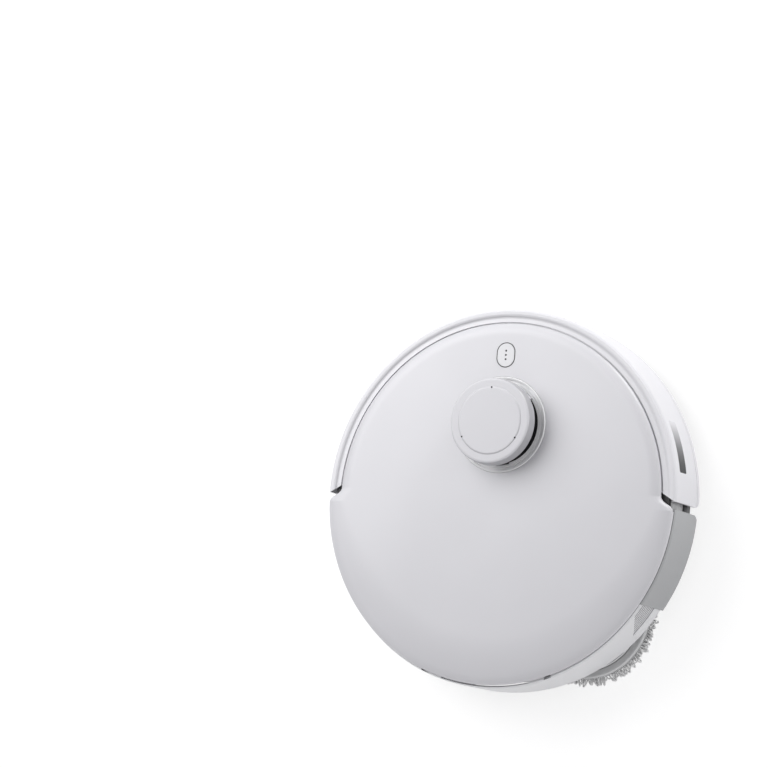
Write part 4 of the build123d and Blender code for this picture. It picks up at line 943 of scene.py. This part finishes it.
@dataclass
class Underside:
    """Main brush, guard, caster, sensors, contacts and screws."""

    screw_places: tuple[tuple[float, float], ...] = ((88, -128), (150, -62), (148, 44))
    middle_screws: tuple[float, ...] = (-22, 6)
    head_radius: float = 3.0 * MM
    head_edge: float = 0.35 * MM
    head_thick: float = 1.6 * MM
    shank_radius: float = 1.4 * MM
    cross_long: float = 1.7 * MM
    cross_wide: float = 0.38 * MM
    cross_deep: float = 0.8 * MM
    turn_seed: int = 4

    def build(self) -> bpy.types.Object:
        """Make the screw heads and finish the rest.

        Returns:
            The piece with all the screw heads.
        """
        dress(FINISH.fins, "main_brush")
        dress(FINISH.steel, "brush_bearings", "caster_axle")
        dress(FINISH.dark, "brush_guard", "caster_fork")
        dress(FINISH.roller, "caster_roller")
        dress(Pane("cliff_window", (0.02, 0.012, 0.014)), "cliff_sensors")
        dress(FINISH.contact, "charge_contacts")
        return self._screws()

    def _centres(self) -> list[Vector]:
        """Places of the screw heads, at the height of their lowest face."""
        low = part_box("underside_screws")[0].z
        paired = [(side * x, y) for x, y in self.screw_places for side in (-1, 1)]
        places = paired + [(0, y) for y in self.middle_screws]
        return [Vector((x * MM, y * MM, low)) for x, y in places]

    def _screws(self) -> bpy.types.Object:
        """Heads with a cross recess, cut by a Boolean modifier that is applied."""
        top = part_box("underside_screws")[1].z
        chance = random.Random(self.turn_seed)
        heads, cuts = MeshDraft(), MeshDraft()
        for centre in self._centres():
            high = top - centre.z
            outline = [(0.0, 0.0), (self.head_radius - self.head_edge, 0.0),
                       (self.head_radius, self.head_edge), (self.head_radius, self.head_thick),
                       (self.shank_radius, self.head_thick), (self.shank_radius, high), (0.0, high)]
            heads.lathe(outline, centre, 28)
            cuts.block(self._cross(centre, chance.uniform(0, math.pi / 2)), centre.z - 1 * MM,
                       centre.z + self.cross_deep)
        piece = heads.mesh("screw_heads")
        carve(piece, cuts.mesh("screw_cutter"))
        piece.data.materials.append(FINISH.screw.material())
        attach(piece, "body")
        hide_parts("underside_screws")
        return piece

    def _cross(self, centre: Vector, turn: float) -> list[tuple[float, float]]:
        """Plan outline of a cross recess."""
        long, wide = self.cross_long, self.cross_wide
        quarter = [(long, -wide), (long, wide), (wide, wide)]
        outline = []
        for step in range(4):
            angle = turn + step * math.pi / 2
            for x, y in quarter:
                outline.append((centre.x + x * math.cos(angle) - y * math.sin(angle),
                                centre.y + x * math.sin(angle) + y * math.cos(angle)))
        return outline


def carve(piece: bpy.types.Object, cutter: bpy.types.Object) -> None:
    """Cut one mesh by another and delete the cutter.

    Args:
        piece: the mesh that is cut.
        cutter: the closed mesh that it is cut by.
    """
    cut = piece.modifiers.new("cut", "BOOLEAN")
    cut.object = cutter
    cut.operation = "DIFFERENCE"
    cut.solver = "EXACT"
    graph = bpy.context.evaluated_depsgraph_get()
    result = bpy.data.meshes.new_from_object(piece.evaluated_get(graph))
    piece.modifiers.clear()
    piece.data = result
    piece.data.set_sharp_from_angle(angle=math.radians(35))
    bpy.data.objects.remove(cutter)


@dataclass
class SideBrush:
    """Two-armed side brush with nylon bristles."""

    per_tuft: int = 90
    root: float = 14.4 * MM
    reach: float = 48.0 * MM
    root_half: float = 2.3 * MM
    tip_half: float = 6.8 * MM
    root_low: float = 4.6 * MM
    root_high: float = 6.6 * MM
    tip_low: float = 1.8 * MM
    tip_high: float = 4.2 * MM
    thick: float = 0.26 * MM
    taper: tuple[float, ...] = (1.0, 1.0, 0.9, 0.75, 0.4)
    seed: int = 7

    def build(self) -> bpy.types.Object:
        """Make the bristles.

        Returns:
            The piece with both tufts.
        """
        dress(FINISH.dark, "side_brush_hub")
        centre = middle("side_brush_tufts")
        centre.z = 0.0
        along = math.atan2(centre.y, centre.x) + math.pi / 2
        chance = random.Random(self.seed)
        draft = MeshDraft()
        for side in (0.0, math.pi):
            place = Matrix.Translation(centre) @ Matrix.Rotation(along + side, 4, "Z")
            for _ in range(self.per_tuft):
                draft.tube([place @ point for point in self._strand(chance)],
                           [self.thick * share for share in self.taper], 4)
        piece = draft.piece("side_brush_bristles", "side_brush", FINISH.nylon, Slot.BRISTLE)
        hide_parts("side_brush_tufts")
        return piece

    def _strand(self, chance: random.Random) -> list[Vector]:
        """One bristle, from its root at the arm to its tip near the floor."""
        spread = chance.uniform(-1.0, 1.0)
        start = Vector((self.root, spread * self.root_half, chance.uniform(self.root_low, self.root_high)))
        reach = self.reach * chance.uniform(0.94, 0.995)
        end = Vector((reach, spread * self.tip_half + chance.uniform(-0.6, 0.6) * MM,
                      chance.uniform(self.tip_low, self.tip_high)))
        bow = Vector((0.0, chance.uniform(-0.5, 0.5) * MM, chance.uniform(0.2, 0.7) * MM))
        shares = [step / (len(self.taper) - 1) for step in range(len(self.taper))]
        return [start.lerp(end, share) + bow * math.sin(math.pi * share) for share in shares]


@dataclass
class Mop:
    """One spinning mop: plate, backing pad, fringe and the looped pile under it."""

    side: str
    pad_radius: float = 63.0 * MM
    backing_low: float = 1.7 * MM
    crown: float = 0.5 * MM
    fringe_layers: int = 3
    fringe_count: int = 96
    fringe_reach: tuple[float, float] = (4.0 * MM, 8.6 * MM)
    pile_count: int = 620
    yarn: float = 0.68 * MM
    loop_steps: int = 9
    seed: int = 11

    def build(self) -> list[bpy.types.Object]:
        """Make the textile pieces and finish the plate.

        Returns:
            Backing, fringe and pile.
        """
        body = "mop_" + self.side
        dress(FINISH.plate, "mop_plate_" + self.side)
        dress(FINISH.shield, "mop_sleeve_" + self.side)
        low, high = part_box("mop_pad_" + self.side)
        centre = Vector(((low.x + high.x) / 2, (low.y + high.y) / 2, low.z))
        chance = random.Random(self.seed)
        backing = self._backing(centre, high.z - low.z, body)
        fringe = self._fringe(centre, high.z - low.z, body, chance)
        pile = self._pile(centre, body, chance)
        return [backing, fringe, pile]

    def _backing(self, centre: Vector, thick: float, body: str) -> bpy.types.Object:
        """Padded disc with a rolled edge and two stitched channels."""
        draft = MeshDraft()
        low, edge = self.backing_low, self.pad_radius
        outline = [(0.0, thick), (edge - 2.6 * MM, thick), (edge - 0.8 * MM, thick - 0.3 * MM),
                   (edge, thick - 1.1 * MM), (edge - 0.5 * MM, low + 0.4 * MM), (edge - 2.0 * MM, low)]
        for channel in (0.88, 0.45):
            radius = edge * channel
            outline += [(radius + 1.5 * MM, low - self.crown), (radius, low + 0.5 * MM),
                        (radius - 1.5 * MM, low - self.crown)]
        outline.append((0.0, low - self.crown))
        draft.lathe(outline, centre, 128)
        piece = draft.piece("mop_backing_" + self.side, body, FINISH.felt, Slot.MOP)
        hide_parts("mop_pad_" + self.side)
        return piece

    def _loop(self, draft: MeshDraft, root: Vector, out: Vector, across: Vector, reach: float,
              half: float) -> None:
        """Add one closed-looking loop of yarn.

        Args:
            draft: the mesh that it is added to.
            root: middle of its two ends.
            out: direction that it reaches in.
            across: direction between its ends.
            reach: how far it reaches.
            half: half the width between its ends.
        """
        path, radii = [], []
        for step in range(self.loop_steps):
            turn = math.pi * step / (self.loop_steps - 1)
            belly = half * (1.0 + 0.35 * math.sin(turn))
            path.append(root + out * (reach * math.sin(turn)) + across * (belly * math.cos(turn)))
            radii.append(self.yarn * (0.85 + 0.25 * math.sin(turn)))
        draft.tube(path, radii, 5)

    def _fringe(self, centre: Vector, thick: float, body: str, chance: random.Random) -> bpy.types.Object:
        """Loops of yarn round the rim."""
        draft = MeshDraft()
        for layer in range(self.fringe_layers):
            height = thick * (0.16 + 0.66 * layer / (self.fringe_layers - 1))
            for index in range(self.fringe_count):
                angle = 2 * math.pi * (index + chance.uniform(0.1, 0.9)) / self.fringe_count
                out = turned(1.0, angle, chance.uniform(-0.12, 0.10))
                out = (Quaternion(UP, chance.uniform(-0.45, 0.45)) @ out).normalized()
                across = Quaternion(out, chance.uniform(-1.1, 1.1)) @ out.cross(UP).normalized()
                root = centre + turned(self.pad_radius - 1.2 * MM, angle, height)
                self._loop(draft, root, out, across, chance.uniform(*self.fringe_reach),
                           chance.uniform(0.9, 1.7) * MM)
        self._keep_above(draft, centre.z)
        return draft.piece("mop_fringe_" + self.side, body, FINISH.yarn, Slot.MOP)

    def _pile(self, centre: Vector, body: str, chance: random.Random) -> bpy.types.Object:
        """Loops that hang from the backing, set out like the seeds of a sunflower."""
        draft = MeshDraft()
        golden = math.pi * (3 - math.sqrt(5))
        for index in range(self.pile_count):
            radius = (self.pad_radius - 1.5 * MM) * math.sqrt((index + 0.5) / self.pile_count)
            angle = index * golden
            root = centre + turned(radius, angle, self.backing_low)
            across = turned(1.0, chance.uniform(0, math.pi), 0.0)
            out = Vector((chance.uniform(-0.7, 0.7), chance.uniform(-0.7, 0.7), -1.0)).normalized()
            self._loop(draft, root, out, across, self.backing_low - self.yarn, chance.uniform(1.0, 1.6) * MM)
        self._keep_above(draft, centre.z)
        return draft.piece("mop_pile_" + self.side, body, FINISH.yarn, Slot.MOP)

    @staticmethod
    def _keep_above(draft: MeshDraft, floor: float) -> None:
        """Flatten what would reach below the floor."""
        for vertex in draft.vertices:
            vertex.z = max(vertex.z, floor + 0.02 * MM)


# ---------------------------------------------------------------- studio


@dataclass
class Lamp:
    """One soft area lamp that looks at the object."""

    name: str
    azimuth: float
    elevation: float
    distance: float
    size: float
    power: float

    def build(self, aim: Vector) -> bpy.types.Object:
        """Hang the lamp.

        Args:
            aim: the point that it faces.

        Returns:
            The lamp.
        """
        data = bpy.data.lights.new(self.name, "AREA")
        data.shape = "DISK"
        data.size = self.size
        data.energy = self.power
        lamp = bpy.data.objects.new(self.name, data)
        bpy.context.scene.collection.objects.link(lamp)
        back = direction(self.azimuth, self.elevation)
        lamp.location = aim + back * self.distance
        lamp.rotation_mode = "QUATERNION"
        lamp.rotation_quaternion = back.to_track_quat("Z", "Y")
        lamp.visible_camera = False
        return lamp


def direction(azimuth: float, elevation: float) -> Vector:
    """Unit vector at an azimuth from +X and an elevation, in degrees."""
    turn, rise = math.radians(azimuth), math.radians(elevation)
    return Vector((math.cos(turn) * math.cos(rise), math.sin(turn) * math.cos(rise), math.sin(rise)))


@dataclass
class Studio:
    """Camera, lamps, world and floor."""

    aim: Vector = field(default_factory=lambda: Vector((0.1239, -0.1030, 0.075)))
    azimuth: float = 162.70
    elevation: float = 61.69
    roll: float = 70.11
    distance: float = 2.5723
    lens: float = 127.875
    sensor: float = 36.0
    view_end: float = 50.0
    ambient: float = 0.35
    glossy_share: float = 0.8
    lamp_aim: float = 50.0 * MM
    floor_radius: float = 6.0
    floor_thick: float = 20.0 * MM
    floor_gap: float = 0.2 * MM
    floor_sides: int = 96
    floor_tone: float = 0.43
    floor_lift: float = 0.73
    lamps: tuple[Lamp, ...] = (
        Lamp("key", -42.0, 46.0, 0.95, 1.0, 7.3),
        Lamp("front", -122.0, 7.0, 1.5, 0.5, 8.8),
        Lamp("side", 190.0, 7.0, 1.5, 0.5, 3.8),
        Lamp("rear", 108.0, 12.0, 1.3, 0.6, 2.7),
    )

    def build(self) -> None:
        """Set up everything that isn't the object."""
        self._camera()
        self._world()
        self._floor()
        for lamp in self.lamps:
            lamp.build(UP * self.lamp_aim)
        bpy.context.scene.view_settings.view_transform = "Standard"

    def _camera(self) -> None:
        """A long lens that looks down at the robot's right side."""
        data = bpy.data.cameras.new("camera")
        data.lens = self.lens
        data.sensor_width = self.sensor
        data.clip_end = self.view_end
        camera = bpy.data.objects.new("camera", data)
        bpy.context.scene.collection.objects.link(camera)
        back = direction(self.azimuth, self.elevation)
        right = UP.cross(back).normalized()
        up = back.cross(right)
        turn = Matrix((right, up, back)).transposed() @ Matrix.Rotation(-math.radians(self.roll), 3, "Z")
        camera.matrix_world = Matrix.Translation(self.aim + back * self.distance) @ turn.to_4x4()
        bpy.context.scene.camera = camera

    def _world(self) -> None:
        """Even light, seen as white by the camera and in reflections."""
        world = bpy.data.worlds.new("studio")
        bpy.context.scene.world = world
        tree = ShaderTree(world)
        seen = self._seen(tree)
        level = (self.ambient, self.ambient, self.ambient * 1.02)
        colour = tree.blend(seen, level, (1.0, 1.0, 1.0))
        glow = tree.node("ShaderNodeBackground", {}, {"Color": colour, "Strength": 1.0})
        tree.node("ShaderNodeOutputWorld", {}, {"Surface": glow})

    def _seen(self, tree: ShaderTree) -> Value:
        """1 for camera and transmission rays, and somewhat less for glossy rays."""
        camera, glossy, through = (tree.node("ShaderNodeLightPath", {}, {}, f"Is {name} Ray")
                                   for name in ("Camera", "Glossy", "Transmission"))
        return camera.larger(glossy * self.glossy_share).larger(through)

    def _floor(self) -> None:
        """A pale round floor that keeps the object's shadow."""
        draft = MeshDraft()
        sides = self.floor_sides
        ring = [turned(self.floor_radius, 2 * math.pi * step / sides, 0.0) for step in range(sides)]
        draft.block([(p.x, p.y) for p in ring], -self.floor_thick, -self.floor_gap)
        floor = draft.mesh("floor")
        finish = bpy.data.materials.new("floor_paper")
        tree = ShaderTree(finish)
        fibre = tree.noise(tree.point(), 4.0, 3.0)
        seen = self._seen(tree)
        glow = tree.blend(seen, (0.0, 0.0, 0.0), (self.floor_lift,) * 3)
        paper = tree.blend(fibre, (0.84, 0.84, 0.84), (0.86, 0.86, 0.86))
        tone = tree.blend(seen, paper, (self.floor_tone,) * 3)
        tree.surface(Base_Color=tone, Roughness=0.9, Specular_IOR_Level=0.0,
                     Emission_Color=glow, Emission_Strength=1.0)
        floor.data.materials.append(finish)


def report(step: str, work: Callable[[], Any]) -> Any:
    """Run one step and log its pieces.

    Args:
        step: what the step makes.
        work: the step.

    Returns:
        What the step returned.
    """
    made = work()
    pieces = made if isinstance(made, list) else [made] if isinstance(made, bpy.types.Object) else []
    LOG.info("%s: %s", step, ", ".join(p.name for p in pieces) or "nodes dressed")
    return made


def main() -> None:
    """Build the sub-assemblies in order, then the studio."""
    logging.basicConfig(level=logging.INFO, format="%(name)s %(message)s")
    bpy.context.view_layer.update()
    report("shell", Shell().dress)
    report("start button", StartButton().build)
    for side in ("left", "right"):
        report("gap seal " + side, GapSeal(side).build)
    report("turret", Turret().build)
    report("insides", Insides().dress)
    report("drive wheels", DriveWheels().dress)
    report("underside", Underside().build)
    report("side brush", SideBrush().build)
    for number, side in enumerate(("left", "right")):
        report("mop " + side, Mop(side, seed=11 + number).build)
    report("studio", Studio().build)


if __name__ == "__main__":
    main()
